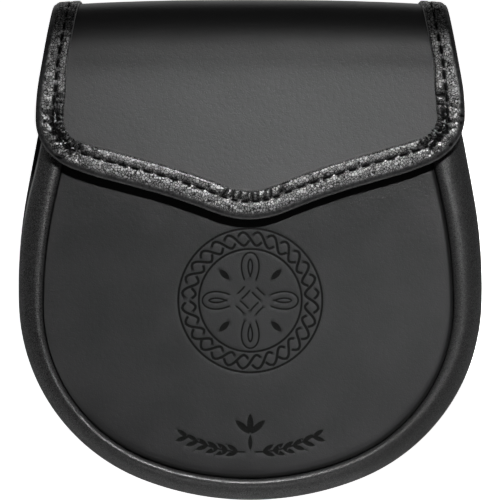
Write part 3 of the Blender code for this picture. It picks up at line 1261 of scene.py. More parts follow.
@dataclass
class FrontLeather:
    """The smooth front, its edge turned down into the seam, with the ornament cut into it."""

    form: PouchForm
    ornament: Ornament
    thick: float = 2.2
    left_rim: RimShape = RimShape(0.4, 0.4, 3.0)
    right_rim: RimShape = RimShape(0.8, 2.0, 32.0)
    foot_rim: RimShape = RimShape(0.8, 3.4, 14.0)
    right_zone: Span = (0.1, 0.7)
    foot_zone: Span = (0.3, 0.95)
    rim_pitch: float = 2.4
    # rim_shade: the drop over which the turned edge is painted with shade, darker and duller, into the seam's
    # groove
    rim_shade: Span = (0.05, 0.35)
    margin: float = 7.5
    rim_clear: float = 1.6
    lattice: float = 3.0
    fine_lattice: float = 1.3
    fine_zone: float = 4.0
    line_clear: float = 0.55
    lattice_reach: float = 90.0
    lattice_foot: float = -95.0
    cut_depth: float = 0.03
    cut_slant: float = 0.12
    unevenness: Waves = Waves(0.05, 18.0, 3.0)
    same_point: float = 0.0001

    def spot(self, point: Vector, drop: float, mark: float) -> Spot:
        """A spot of the outer face, at a drop below its level."""
        level = self.form.front_level(point.x, point.y) + self.unevenness.at(point.x, point.y)
        return Spot(point.x, point.y, level - drop, mark, 1.0 - self.form.rubbed(point.y))

    def rim_rows(self) -> list[list[Spot]]:
        """The turned edge, from the seam allowance up and in to the flat of the front.

        Returns:
            A row of spots for each rib of the seam.
        """
        rows = []
        for rib in self.form.seam_ribs(self.rim_pitch):
            side = self.left_rim.mixed(self.right_rim, ramp(rib.outward.x, *self.right_zone))
            rim = side.mixed(self.foot_rim, ramp(-rib.outward.y, *self.foot_zone))
            steps = [(0.0, self.form.seam_depth - self.form.front_drop)] + rim.steps()
            steps += [((steps[-1][0] + self.margin) / 2.0, 0.0), (self.margin, 0.0)]
            inner = Vector((0.0, max(rib.point.y, self.form.focus)))
            way = (inner - rib.point).normalized()
            # the turned edge gets painted shade as it drops into the seam's groove
            rows.append([
                self.spot(rib.point + way * distance, drop, ramp(drop, *self.rim_shade))
                for distance, drop in steps
            ])
        return rows

    def inner_points(self, cuts: CutLines, top: float) -> list[Vector]:
        """Points inside the rim: a lattice, finer by the ornament, and the rails of its lines.

        Args:
            cuts: the ornament's lines.
            top: height of the front's upper edge.

        Returns:
            The points.
        """
        made = []
        zones = ((self.lattice, self.fine_zone, inf), (self.fine_lattice, self.line_clear, self.fine_zone))
        for pitch, nearest, farthest in zones:
            count = ceil(2.0 * self.lattice_reach / pitch)
            for row in range(count):
                shift = pitch / 2.0 if row % 2 else 0.0
                for column in range(count):
                    across = -self.lattice_reach + column * pitch + shift
                    point = Vector((across, self.lattice_foot + row * pitch))
                    if point.y <= top - self.rim_clear and self.inside(point):
                        if nearest < cuts.clearance(point) <= farthest:
                            made.append(point)
        return made + cuts.rails()

    def inside(self, point: Vector) -> bool:
        """Whether a point of the front is clear of the rim."""
        share, away = self.form.share_in(*point), hypot(point.x, min(point.y - self.form.focus, 0.0))
        return share >= 1.0 or (share > 0.0 and away / (1.0 - share) * share > self.margin + self.rim_clear)

    def build(self) -> Object:
        """The front's leather.

        Returns:
            The piece.
        """
        surface = Surface()
        rows = self.rim_rows()
        surface.add_grid([row[::-1] for row in rows])
        cuts = CutLines(self.ornament.strokes(), self.cut_slant)
        loop = [Vector((row[-1].x, row[-1].y)) for row in rows]
        count = ceil((loop[-1] - loop[0]).length / self.lattice)
        loop += [loop[-1].lerp(loop[0], part / count) for part in range(1, count)]
        points = loop + self.inner_points(cuts, loop[0].y)
        edges = [(index, (index + 1) % len(loop)) for index in range(len(loop))]
        flat, _, faces, *_ = geometry.delaunay_2d_cdt(points, edges, [], 1, self.same_point)
        shares = [cuts.cut(point) for point in flat]
        spots = [self.spot(point, share * self.cut_depth, share) for point, share in zip(flat, shares)]
        numbers = surface.add_row(spots)
        surface.faces += [tuple(numbers[corner] for corner in face) for face in faces]
        piece = surface.make("front_leather", Look.FRONT, "smooth_leather")
        if max(piece.data.polygons, key=lambda face: face.center.z).normal.z < 0.0:
            piece.data.flip_normals()
        solid = piece.modifiers.new("Thickness", "SOLIDIFY")
        solid.thickness = self.thick * MM
        solid.offset = -1.0
        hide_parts("front_panel")
        return piece


class RollArc(NamedTuple):
    """An elliptic bend of the gusset's section: its middle, reach and rise, and its degrees from upright."""

    middle: float
    level: float
    reach: float
    rise: float
    degrees: range


@dataclass
class GussetWall:
    """The grained wall round the pouch, rolled over to the front's seam and turned in on the back.

    Zones are shares of how far a place faces a side or the foot, or heights up the pouch.
    """

    form: PouchForm
    thick: float = 1.5
    roll_out: float = 3.2
    foot_roll_out: float = 2.2
    foot_roll_zone: Span = (0.2, 0.9)
    roll_skew: float = 0.65
    roll_drop: float = 2.2
    seam_fold: float = 4.5
    bulge: float = 6.0
    turn_in: float = 2.5
    flange: float = 6.5
    margin: float = 0.2
    left_zone: Span = (0.5, 0.9)
    left_step: float = 1.7
    step_heights: Span = (2.0, 48.0)
    # left_highlight: a painted highlight, a pale line near the wall's widest line on its upper left side
    left_highlight: float = 1.5
    highlight_heights: Span = (3.0, 20.0)
    highlight_line: Span = (0.38, 0.42)
    highlight_lowest: float = 0.75
    foot_wear: float = 0.33
    foot_zone: Span = (0.5, 0.95)
    # right_shade: painted shade that darkens and dulls the wall's right side, dimming its highlight
    right_shade: float = 0.52
    right_zone: Span = (0.1, 0.7)
    # seam_shade: shares of the depth over which the roll's inner side is painted with shade into the seam's
    # groove
    seam_shade: Span = (0.03, 0.08)
    seam_shade_out: float = 1.6
    pucker: float = 0.1
    pucker_size: float = 9.0
    pucker_seed: float = 7.0
    pitch: float = 1.6

    def section(self, roll_out: float, width: float, crest: float, back: float) -> list[Span]:
        """Outer face, from the seam allowance over the roll to the flange.

        Args:
            roll_out: seam to the crest of the roll.
            width: seam to the widest line.
            crest: level of the roll.
            back: level of the flange.

        Returns:
            Points as (distance out from the seam, level).
        """
        gap = self.form.gap
        widest = back + self.bulge
        made = [(gap, crest - self.form.seam_depth), (gap, crest - self.seam_fold)]
        arcs = (
            RollArc(roll_out, crest - self.roll_drop, roll_out - gap, self.roll_drop, range(-90, 1, 9)),
            RollArc(roll_out, widest, width - roll_out, crest - widest, range(6, 91, 6)),
            RollArc(width - self.turn_in, widest, self.turn_in, self.bulge, range(105, 181, 15)),
        )
        for arc in arcs:
            for sine, cosine in sines(arc.degrees):
                made.append((arc.middle + arc.reach * sine, arc.level + arc.rise * cosine))
        return made + [(width - self.turn_in - self.flange, back)]

    def row(self, rib: Rib) -> list[Spot]:
        """The wall's closed section at one place.

        Args:
            rib: where on the pouch's outline.

        Returns:
            Its spots.
        """
        form = self.form
        inset = form.inset(rib)
        left = ramp(-rib.outward.x, *self.left_zone)
        width = inset - self.margin - self.left_step * left * ramp(rib.point.y, *self.step_heights)
        # painted shade: the wall's right side is marked darker and duller
        dull = self.right_shade * ramp(rib.outward.x, *self.right_zone)
        grain = 1.0 - self.foot_wear * ramp(-rib.outward.y, *self.foot_zone)
        # a painted highlight line on the wall's upper left side
        painted_highlight = self.left_highlight * left * ramp(rib.point.y, *self.highlight_heights)
        crest = form.crest_level(rib.point.y)
        back = form.back_level(rib.point.y) + form.back_thick + form.gap
        roll_out = self.roll_out + self.roll_skew * rib.outward.x
        roll_out += (self.foot_roll_out - roll_out) * ramp(-rib.outward.y, *self.foot_roll_zone)
        made = []
        for out, level in thicken(self.section(roll_out, width, crest, back), self.thick):
            point = rib.inside(inset - out)
            share = (crest - level) / (crest - back)
            seat = form.back_level(point.y) + form.back_thick + form.gap
            level += (form.crest_level(point.y) - crest) * (1.0 - share) + (seat - back) * share
            wave = self.pucker * ripple((point.x, point.y, level), self.pucker_size, self.pucker_seed)
            point = point + rib.outward * wave
            # painted shade: the roll is marked darker and duller down into the seam's groove, and along the
            # right side
            mark = max(ramp(share, *self.seam_shade) * (out < self.seam_shade_out), dull)
            cut = painted_highlight * hump(width - out, *self.highlight_line) * (share < self.highlight_lowest)
            made.append(Spot(point.x, point.y, level + wave, mark, grain, cut))
        return made

    def build(self) -> Object:
        """The gusset.

        Returns:
            The piece.
        """
        rows = [self.row(rib) for rib in self.form.wall_ribs(self.pitch)]
        piece = Surface().add_grid(rows, tube=True).make("gusset_wall", Look.WALL, "grained_leather")
        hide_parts("gusset")
        return piece


@dataclass(frozen=True)
class Pillow:
    """A flat piece with rounded edges. Its rows run from its outline to a spine on its middle line.

    The place gives the spot for a flat point at a height over the middle face.
    """

    ribs: Sequence[Rib]
    spine: Span
    half_thick: float
    place: Callable[[Vector, float], Spot]
    edge_round: float = 0.8
    edge_degrees: tuple[int, ...] = (90, 60, 30, 0)
    shares: tuple[float, ...] = (0.06, 0.13, 0.22, 0.33, 0.46, 0.6, 0.74, 0.87, 1.0)

    def columns(self) -> list[Triple]:
        """The points of one row, over the outer face, round the edge and back.

        Returns:
            Points as (distance in, share of the way to the spine, height).
        """
        upper = [(0.0, share, self.half_thick) for share in reversed(self.shares)]
        for sine, cosine in sines(self.edge_degrees):
            upper.append((self.edge_round * (1.0 - cosine), 0.0, self.half_thick * sine))
        return upper + [(run, share, -height) for run, share, height in reversed(upper[:-1])]

    def surface(self) -> Surface:
        """The piece's net of faces.

        Returns:
            It.
        """
        rows = []
        for rib in self.ribs:
            inner = Vector((0.0, min(max(rib.point.y, self.spine[0]), self.spine[1])))
            reach = (inner - rib.point).length
            row = []
            for run, share, height in self.columns():
                distance = run + share * (reach - run)
                row.append(self.place(rib.point.lerp(inner, distance / reach), height))
            rows.append(row)
        return Surface().add_grid(rows)


# ---- stitches


@dataclass
class StitchRow:
    """A row of thread stitches, each dipping into the leather at both ends, as one piece.

    The place gives the point for a distance along the row, across it and out of the leather.
    """

    name: str
    middles: Sequence[float]
    place: Place
    length: float = 3.2
    radius: float = 0.38
    end_share: float = 0.35
    rise: float = 0.1
    dip: float = 0.55
    rings: int = 8
    sides: int = 8

    def build(self, slot: str) -> Object:
        """The stitches.

        Args:
            slot: the record's material slot.

        Returns:
            The piece.
        """
        surface = Surface()
        turns = [tau * side / self.sides for side in range(self.sides)]
        for middle in self.middles:
            rows = []
            for ring in range(self.rings + 1):
                share = 2.0 * ring / self.rings - 1.0
                along = middle + share * self.length / 2.0
                height = self.rise - self.dip * share**4
                swell = sqrt(max(1.0 - share**6, 0.0))
                radius = self.radius * (self.end_share + (1.0 - self.end_share) * swell)
                points = [(radius * cos(turn), height + radius * sin(turn)) for turn in turns]
                rows.append([Spot(*self.place(along, across, up)) for across, up in points])
            surface.add_grid(rows, tube=True)
        return surface.make(self.name, Look.THREAD, slot)


# ---- back


@dataclass
class BackLeather:
    """The back panel, with a row of stitches round it. Its hidden face is dull."""

    form: PouchForm
    pitch: float = 3.0
    spine: Span = (-40.0, 45.0)
    flesh: Span = (-0.2, 0.4)
    stitch_inset: float = 4.6
    stitch_pitch: float = 4.8
    stitched_to: float = 70.0
    thread_radius: float = 0.34
    thread_rise: float = -0.1
    half: float = field(init=False)
    wall: Outline = field(init=False)

    def __post_init__(self) -> None:
        """Works out half the leather's thickness and the outline that the stitches follow."""
        self.half = self.form.back_thick / 2.0
        self.wall = self.form.edge().up_to(self.stitched_to)

    def spot(self, point: Vector, height: float) -> Spot:
        """A spot of the panel, at a height out of the back from the middle of the leather."""
        dull = ramp(-height / self.half, *self.flesh)
        return Spot(point.x, point.y, self.form.back_level(point.y) + self.half - height, dull)

    def on_seam(self, along: float, across: float, height: float) -> Triple:
        """A point by the row of stitches, for a height out of the back."""
        point = self.wall.on_half(along).inside(self.stitch_inset + across)
        return (point.x, point.y, self.form.back_level(point.y) - height)

    def build(self) -> list[Object]:
        """The back panel and its stitches.

        Returns:
            The pieces.
        """
        pillow = Pillow(self.form.back_edge().ribs(self.pitch), self.spine, self.half, self.spot)
        panel = pillow.surface().make("back_leather", Look.BACKING, "back_leather")
        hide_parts("back_panel")
        count = floor(self.wall.length / self.stitch_pitch)
        middles = [self.stitch_pitch * (number + 0.5 - count) for number in range(2 * count)]
        sizes = {"radius": self.thread_radius, "rise": self.thread_rise}
        row = StitchRow("back_stitches", middles, self.on_seam, **sizes)
        return [panel, row.build("back_leather")]


# ---- flap


@dataclass
class FlapLeather:
    """The flap's smooth leather, over the fold and down to its sewn tail."""

    form: FlapForm
    inset: float = 2.3
    pitch: float = 1.8
    end_pitch: float = 6.0
    edge_round: float = 0.6
    spine_start: float = 34.0
    spine_from_end: float = 8.0
    unevenness: Waves = Waves(0.07, 24.0, 11.0)
    tail_stitch_from_end: float = 4.5
    tail_stitch_pitch: float = 4.8
    tail_stitch_half: float = 66.0

    def spot(self, point: Vector, height: float) -> Spot:
        """The spot for a point of the flat flap, at a height over its middle face."""
        return Spot(*self.form.wrap(point.x, point.y, height + self.unevenness.at(point.x, point.y)))

    def on_tail(self, along: float, across: float, height: float) -> Triple:
        """A point by the tail's row of stitches, for a height out of the leather."""
        row = self.form.tail_length - self.tail_stitch_from_end
        return self.form.wrap(along, row + across, self.form.thick / 2.0 + height)

    def outline(self) -> list[Rib]:
        """The leather's edge, from the middle of its tail round its point and back.

        Returns:
            Its ribs.
        """
        edge = self.form.edge(self.form.tail_length)
        side = [Rib(rib.inside(self.inset), rib.outward, rib.along) for rib in edge.ribs(self.pitch)]
        corner = side[-1].point
        count = ceil(corner.x / self.end_pitch)
        end = [
            Rib(Vector((corner.x * (1.0 - part / count), corner.y)), Vector((0.0, 1.0)), edge.length)
            for part in range(1, count + 1)
        ]
        return [rib.mirrored() for rib in reversed(end)] + side + end

    def build(self) -> list[Object]:
        """The flap and the stitches of its tail.

        Returns:
            The pieces.
        """
        spine = (self.spine_start, self.form.tail_length - self.spine_from_end)
        pillow = Pillow(self.outline(), spine, self.form.thick / 2.0, self.spot, self.edge_round)
        flap = pillow.surface().make("flap_leather", Look.FLAP, "smooth_leather")
        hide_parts("flap_panel")
        count = floor(2.0 * self.tail_stitch_half / self.tail_stitch_pitch)
        middles = [self.tail_stitch_pitch * (number + 0.5 - count / 2.0) for number in range(count)]
        return [flap, StitchRow("tail_stitches", middles, self.on_tail).build("smooth_leather")]


class Pleat(NamedTuple):
    """One gather of the binding: where it starts at the stitches and how it runs to the inner edge."""

    along: float
    depth: float
    half_width: float
    lean: float
    outer_share: float


class PleatZone(NamedTuple):
    """A stretch of the edge with gathers: where it is, their sizes, on which halves, and how they vary."""

    start: float
    end: float
    pitch: float
    depth: float
    half_width: float
    halves: tuple[float, ...]
    first: Span = (0.2, 0.8)
    pitches: Span = (0.65, 1.4)
    depths: Span = (0.6, 1.15)
    half_widths: Span = (0.7, 1.4)
    leans: Span = (-0.15, 0.45)
    outer_shares: tuple[float, ...] = (0.0, 0.15, 0.5)

    def pleats(self, draw: random.Random) -> list[Pleat]:
        """Draws the gathers.

        Args:
            draw: gives the random numbers.

        Returns:
            The gathers.
        """
        made = []
        for half in self.halves:
            along = self.start + self.pitch * draw.uniform(*self.first)
            while along < self.end:
                depth = self.depth * draw.uniform(*self.depths)
                half_width = self.half_width * draw.uniform(*self.half_widths)
                lean = half * draw.uniform(*self.leans)
                made.append(Pleat(half * along, depth, half_width, lean, draw.choice(self.outer_shares)))
                along += self.pitch * draw.uniform(*self.pitches)
        return made


@dataclass
class EdgeBinding:
    """The grained strip folded over the flap's edge: rolled edge, sunk stitches and gathered corners.

    Places on it are given by the distance along the flap's edge and the distance inward from it.
    """

    form: FlapForm
    thick: float = 1.0
    edge_roll: float = 2.3
    width: float = 11.7
    under: float = 10.5
    under_face: tuple[Span, ...] = ((10.6, 0.35), (10.3, 0.0), (8.6, 0.0), (7.3, 0.3), (6.0, 0.0), (4.0, 0.0))
    stitch_line: float = 7.3
    stitch_pitch: float = 5.4
    stitch_dent: float = 0.65
    dent_ends: Span = (1.25, 1.95)
    dent_reach: float = 0.95
    thread_radius: float = 0.36
    thread_rise: float = 0.3
    thread_dip: float = 0.4
    thread_sunk_under: float = 0.3
    puff: float = 0.1
    puffs: tuple[Span, ...] = ((4.6, 2.7), (9.4, 2.0))
    valley: float = 0.1
    valley_reach: float = 0.8
    tucked: Span = (11.4, 0.02)
    lift_off: float = 8.0
    fold_zone: Span = (0.7, 9.0)
    fold_flattening: float = 0.85
    fold_narrowing: float = 1.5
    tip_zone: Span = (17.0, 20.0)
    tip_gather: float = 0.3
    corner_run: Span = (-2.0, 38.0)
    corner_zone: Span = (0.6, 0.95)
    pleat_reach: float = 5.0
    pleat_inner: Span = (-0.4, 0.9)
    pleat_outer: Span = (0.0, 1.2)
    pleat_foot: Span = (2.4, 4.4)
    pleat_widths: Span = (1.3, 0.7)
    pleat_thin_zone: Span = (0.5, 4.0)
    # pleat_shade: how hard a gather pulls before its crease is painted with shade
    pleat_shade: Span = (0.3, 0.6)
    unbroken: float = 0.9
    breaks: Waves = Waves(1.2, 1.1, 71.0)
    # shaded hollows: spots of the gathered corners that are sunk and painted with shade
    shaded_hollow_waves: Waves = Waves(1.2, 2.6, 33.0)
    shaded_hollow_line: Triple = (0.95, 0.4, 3.4)
    shaded_hollow_edge: Span = (0.4, 0.52)
    shaded_hollow_zone: Span = (0.15, 0.6)
    shaded_hollow_depth: float = 0.5
    waves: Waves = Waves(1.0, 3.2, 20.0)
    wave_height: Span = (0.12, 0.3)
    wave_start: Span = (2.0, 4.0)
    gathered_rise: float = 0.25
    scallops: Waves = Waves(1.0, 1.7, 51.0)
    scallop: float = 0.9
    scallop_mean: float = 0.5
    nose: float = 0.95
    bed_clear: float = 0.05
    least_rise: float = 0.2
    smooth_edge: float = 1.7
    grain_start: Span = (-0.6, 1.1)
    raw_band: Span = (0.35, 0.15)
    raw_edge: float = 0.05
    # edge_highlight: a painted highlight, a pale line along the rolled edge where it faces down
    edge_highlight: float = 0.12
    edge_highlight_line: Span = (0.3, 0.35)
    edge_highlight_zone: Span = (0.1, 0.6)
    row_pitch: float = 0.55
    top_steps: tuple[float, ...] = (
        0.0, 0.05, 0.2, 0.45, 0.8, 1.2, 1.7, 2.3, 2.9, 3.5, 4.1, 4.7, 5.3, 5.8, 6.2, 6.55, 6.85, 7.1, 7.3,
        7.5, 7.75, 8.05, 8.4, 8.8, 9.3, 9.8, 10.3, 10.75, 11.0, 11.25, 11.45, 11.6, 11.68, 11.7,
    )
    seed: int = 5
    outline: Outline = field(init=False)
    pleats: list[Pleat] = field(init=False)
    fold_span: Span = field(init=False)
    corner_hump: Span = field(init=False)

    def __post_init__(self) -> None:
        """Measures the flap's fold and corners, and lays out the gathers at its point and corners."""
        draw = random.Random(self.seed)
        self.outline = self.form.edge(self.form.binding_length)
        _, _, _, corner, side, _ = self.outline.runs
        start, past = self.fold_zone
        self.fold_span = (side.along + side.length * start, side.along + side.length + past)
        middle, reach = self.corner_zone
        self.corner_hump = (corner.along + corner.length * middle, corner.length * reach)
        tip = self.tip_zone[0]
        start, end = (corner.along + distance for distance in self.corner_run)
        at_tip = PleatZone(-tip, tip, pitch=3.9, depth=0.75, half_width=0.6, halves=(1.0,))
        at_corners = PleatZone(start, end, pitch=4.0, depth=1.1, half_width=1.15, halves=(-1.0, 1.0))
        self.pleats = at_tip.pleats(draw) + at_corners.pleats(draw)

    def at_fold(self, along: float) -> float:
        """How far round the flap's fold a place on the edge lies, from 0 to 1."""
        return ramp(abs(along), *self.fold_span)

    def gathered(self, along: float) -> float:
        """How much the binding is gathered there, from 0 to 1."""
        at_tip = self.tip_gather * hump(along, 0.0, self.tip_zone[1])
        return max(at_tip, hump(abs(along), *self.corner_hump))

    def plain_height(self, along: float, inward: float) -> float:
        """Height of the upper face before it is sewn and gathered.

        Args:
            along: distance along the edge.
            inward: distance in from it.

        Returns:
            The height over the flap's middle.
        """
        height = self.edge_roll
        if inward < self.edge_roll:
            height = sqrt(max(self.edge_roll**2 - (self.edge_roll - inward) ** 2, 0.0))
        full = 1.0 - self.fold_flattening * self.at_fold(along)
        for line, reach in self.puffs:
            height += full * self.puff * hump(inward, line, reach)
        return height - full * self.valley * hump(inward, self.stitch_line, self.valley_reach)

    def dent(self, along: float, inward: float) -> float:
        """How much a stitch pulls the leather down, and paints shade in its dent.

        Args:
            along: distance along the edge.
            inward: distance in from it.

        Returns:
            A share, from 0 to 1.
        """
        nearest = (round(along / self.stitch_pitch - 0.5) + 0.5) * self.stitch_pitch
        in_stitch = 1.0 - ramp(abs(along - nearest), *self.dent_ends)
        return in_stitch * hump(inward, self.stitch_line, self.dent_reach)

    def pull(self, pleat: Pleat, along: float, inward: float) -> float:
        """How much a gather pulls the leather down.

        Args:
            pleat: the gather.
            along: distance along the edge.
            inward: distance in from it.

        Returns:
            A share, from 0 to about 1.
        """
        past = inward - self.stitch_line
        away = along - pleat.along - pleat.lean * past
        if abs(away) > self.pleat_reach:
            return 0.0
        inner = ramp(inward, *(self.stitch_line + reach for reach in self.pleat_inner))
        outer = ramp(self.stitch_line - inward, *self.pleat_outer) * ramp(inward, *self.pleat_foot)
        wide, thinning = self.pleat_widths
        half_width = pleat.half_width * (wide - thinning * ramp(abs(past), *self.pleat_thin_zone))
        return exp(-((away / half_width) ** 2)) * (inner + pleat.outer_share * outer)

    def top_height(self, along: float, inward: float) -> Span:
        """Height of the binding's upper face over the flap's middle, and the painted shade that darkens its
        dents, gathers and hollows.

        Args:
            along: distance along the edge.
            inward: distance in from it.

        Returns:
            The height and the mark of painted shade.
        """
        # stitch dents are sunk, and the same share marks them with painted shade
        mark = self.dent(along, inward)
        height = self.plain_height(along, inward) - self.stitch_dent * mark
        broken = self.unbroken + self.breaks.at(along, inward)
        for pleat in self.pleats:
            pull = self.pull(pleat, along, inward)
            height -= pleat.depth * pull
            # a gather's crease is painted with shade
            mark = max(mark, ramp(pull * pull * broken, *self.pleat_shade))
        gathered = self.gathered(along)
        # at the gathered corners, hollows are sunk and painted with shade
        share, past, reach = self.shaded_hollow_line
        shaded_hollow = self.shaded_hollow_waves.at(along, inward) + share * hump(inward, self.stitch_line + past, reach)
        shaded_hollow = ramp(shaded_hollow, *self.shaded_hollow_edge) * ramp(gathered, *self.shaded_hollow_zone)
        height -= self.shaded_hollow_depth * shaded_hollow
        plain, extra = self.wave_height
        wave = self.waves.at(along, inward) * (plain + extra * gathered)
        height += (wave + self.gathered_rise * gathered) * ramp(inward, *self.wave_start)
        nose = max(0.0, 1.0 - (self.width - inward) / self.nose)
        bed = self.form.thick / 2.0 + self.bed_clear
        height = max(height, bed + self.least_rise)
        return bed + (height - bed) * sqrt(max(1.0 - nose * nose, 0.0)), max(mark, shaded_hollow)

    def hidden_side(self) -> list[Span]:
        """The strip's inner face, from its inner edge round the flap's edge, and its face under the flap.

        Returns:
            Points as (distance in, height).
        """
        roll = self.edge_roll
        hidden = roll - self.thick
        (inner, clear), lifted = self.tucked, self.form.thick / 2.0
        made = [(inner, lifted + clear), (self.lift_off, hidden), (roll, hidden)]
        made += [(roll - hidden * cosine, hidden * sine) for sine, cosine in sines((60, 30, 0, -30, -60))]
        made += [(roll, -hidden), (self.under, -hidden)]
        return made + [(inward, rise - roll) for inward, rise in self.under_face]

    def section(self, rib: Rib) -> list[tuple[float, float, float, float, float]]:
        """The closed section of the strip.

        Args:
            rib: where on the edge.

        Returns:
            Points as (distance in, height, mark, grain, cut), over the top and back underneath.
        """
        roll = self.edge_roll
        under = sines(range(-90, 0, 12))
        made = [(roll * (1.0 - cosine), roll * sine, 0.0, 0.0, 0.0) for sine, cosine in under]
        # a painted highlight line along the rolled edge where it faces down
        painted_highlight = self.edge_highlight * ramp(-rib.outward.y, *self.edge_highlight_zone)
        raw = self.raw_edge + (1.0 - self.raw_edge) * self.at_fold(rib.along)
        for inward in self.top_steps:
            height, mark = self.top_height(rib.along, inward)
            grain = ramp(inward, *(self.smooth_edge + reach for reach in self.grain_start))
            cut = ramp(inward, *(self.width - reach for reach in self.raw_band)) * raw
            made.append((inward, height, mark, grain, max(cut, painted_highlight * hump(inward, *self.edge_highlight_line))))
        return made + [(inward, height, 0.0, 1.0, 0.0) for inward, height in self.hidden_side()]

    def row(self, rib: Rib) -> list[Spot]:
        """The strip's section in its place on the folded flap.

        Args:
            rib: where on the edge.

        Returns:
            Its spots.
        """
        wave = self.scallop_mean + self.scallops.at(rib.along, 0.0)
        scallop = self.scallop * self.gathered(rib.along) * wave
        narrow = 1.0 - (self.fold_narrowing * self.at_fold(rib.along) + scallop) / self.width
        made = []
        for inward, height, *looks in self.section(rib):
            point = rib.inside(inward * narrow if inward > self.edge_roll else inward)
            made.append(Spot(*self.form.wrap(point.x, point.y, height), *looks))
        return made

    def stitched(self, along: float) -> float:
        """How far in from the edge the stitches run there."""
        return self.stitch_line * (1.0 - self.fold_narrowing / self.width * self.at_fold(along))

    def on_line(self, side: float, base: float, along: float, across: float, height: float) -> Triple:
        """A point by the stitches on a side of the flap, 1 or -1, at a base distance from its middle."""
        point = self.outline.on_half(along).inside(self.stitched(along) + across)
        return self.form.wrap(point.x, point.y, side * (base + height))

    def build(self) -> list[Object]:
        """The binding and its stitches.

        Returns:
            The pieces.
        """
        rows = [self.row(rib) for rib in self.outline.ribs(self.row_pitch)]
        strip = Surface().add_grid(rows, tube=True).make("edge_binding", Look.BINDING, "grained_leather")
        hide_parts("flap_binding")
        made = [strip]
        count = floor((self.outline.length - 2.0) / self.stitch_pitch)
        middles = [self.stitch_pitch * (number + 0.5 - count) for number in range(2 * count)]
        thread_sizes = {"radius": self.thread_radius, "rise": self.thread_rise, "dip": self.thread_dip}
        upper = self.edge_roll - self.valley - self.stitch_dent
        lower = self.edge_roll - self.thread_sunk_under
        for name, side, base in (("binding_stitches", 1.0, upper), ("binding_stitches_under", -1.0, lower)):
            row = StitchRow(name, middles, partial(self.on_line, side, base), **thread_sizes)
            made.append(row.build("grained_leather"))
        return made


# ---- strap loops and catch


class LoopSide(Enum):
    """The two strap loops, by the side that they are on."""

    LEFT = -1.0
    RIGHT = 1.0


@dataclass
class StrapLoop:
    """A leather loop on the back for the strap, sewn down at both ends.

    Its bends are (distance from its middle, level of its outer face), from an end to the face.
    """

    side: LoopSide
    spread: float = 43.0
    middle: float = 29.0
    width: float = 17.0
    thick: float = 2.0
    tab_level: float = 6.2
    bends: tuple[Span, ...] = ((25.0, 6.2), (18.0, 6.2), (16.4, 5.3), (14.0, 2.9), (12.0, 2.0))
    corner: float = 0.6
    corner_cuts: tuple[Span, ...] = ((0.0, 1.0), (0.3, 0.3), (1.0, 0.0))
    stitch_rows: tuple[float, ...] = (-23.2, -19.6, 19.6, 23.2)
    stitches: tuple[float, ...] = (-5.4, -1.8, 1.8, 5.4)
    stitch_length: float = 2.7

    def path(self) -> list[Vector]:
        """The middle of the leather from the lower end to the upper, its bends rounded off.

        Returns:
            Its points.
        """
        lower = [Vector((-along, level - self.thick / 2.0)) for along, level in self.bends]
        upper = [Vector((-point.x, point.y)) for point in reversed(lower)]
        points = lower + upper
        for _ in range(2):
            cut = [points[0]]
            for start, end in zip(points, points[1:]):
                cut += [start.lerp(end, 0.25), start.lerp(end, 0.75)]
            points = cut + [points[-1]]
        return points

    def section(self) -> list[Span]:
        """The strip's section, with its corners taken off.

        Returns:
            Points as (across, up).
        """
        half, deep, corner = self.width / 2.0, self.thick / 2.0, self.corner
        made = []
        for across, up in ((1.0, 1.0), (-1.0, 1.0), (-1.0, -1.0), (1.0, -1.0)):
            bevel = [(across * (half - corner * x), up * (deep - corner * z)) for x, z in self.corner_cuts]
            made += bevel if across * up > 0.0 else bevel[::-1]
        return made

    def on_tab(self, row: float, along: float, across: float, height: float) -> Triple:
        """A point by a row of stitches, for a height out of the tab's face."""
        level = self.tab_level - self.thick - height
        return (self.side.value * self.spread + along, self.middle + row + across, level)

    def build(self) -> list[Object]:
        """The loop and its stitches.

        Returns:
            The pieces.
        """
        name = f"strap_loop_{self.side.name.lower()}"
        centre = self.side.value * self.spread
        path = self.path()
        rows = []
        for index, point in enumerate(path):
            step = tangent(path, index)
            normal = Vector((-step.y, step.x))
            places = [(across, point + normal * up) for across, up in self.section()]
            rows.append([Spot(centre + across, self.middle + place.x, place.y) for across, place in places])
        loop = Surface().add_grid(rows, tube=True).make(f"{name}_leather", Look.BACKING, "back_leather")
        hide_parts(name)
        made = [loop]
        for number, row in enumerate(self.stitch_rows):
            place = partial(self.on_tab, row)
            stitches = StitchRow(f"{name}_stitches_{number}", self.stitches, place, self.stitch_length)
            made.append(stitches.build("back_leather"))
        return made


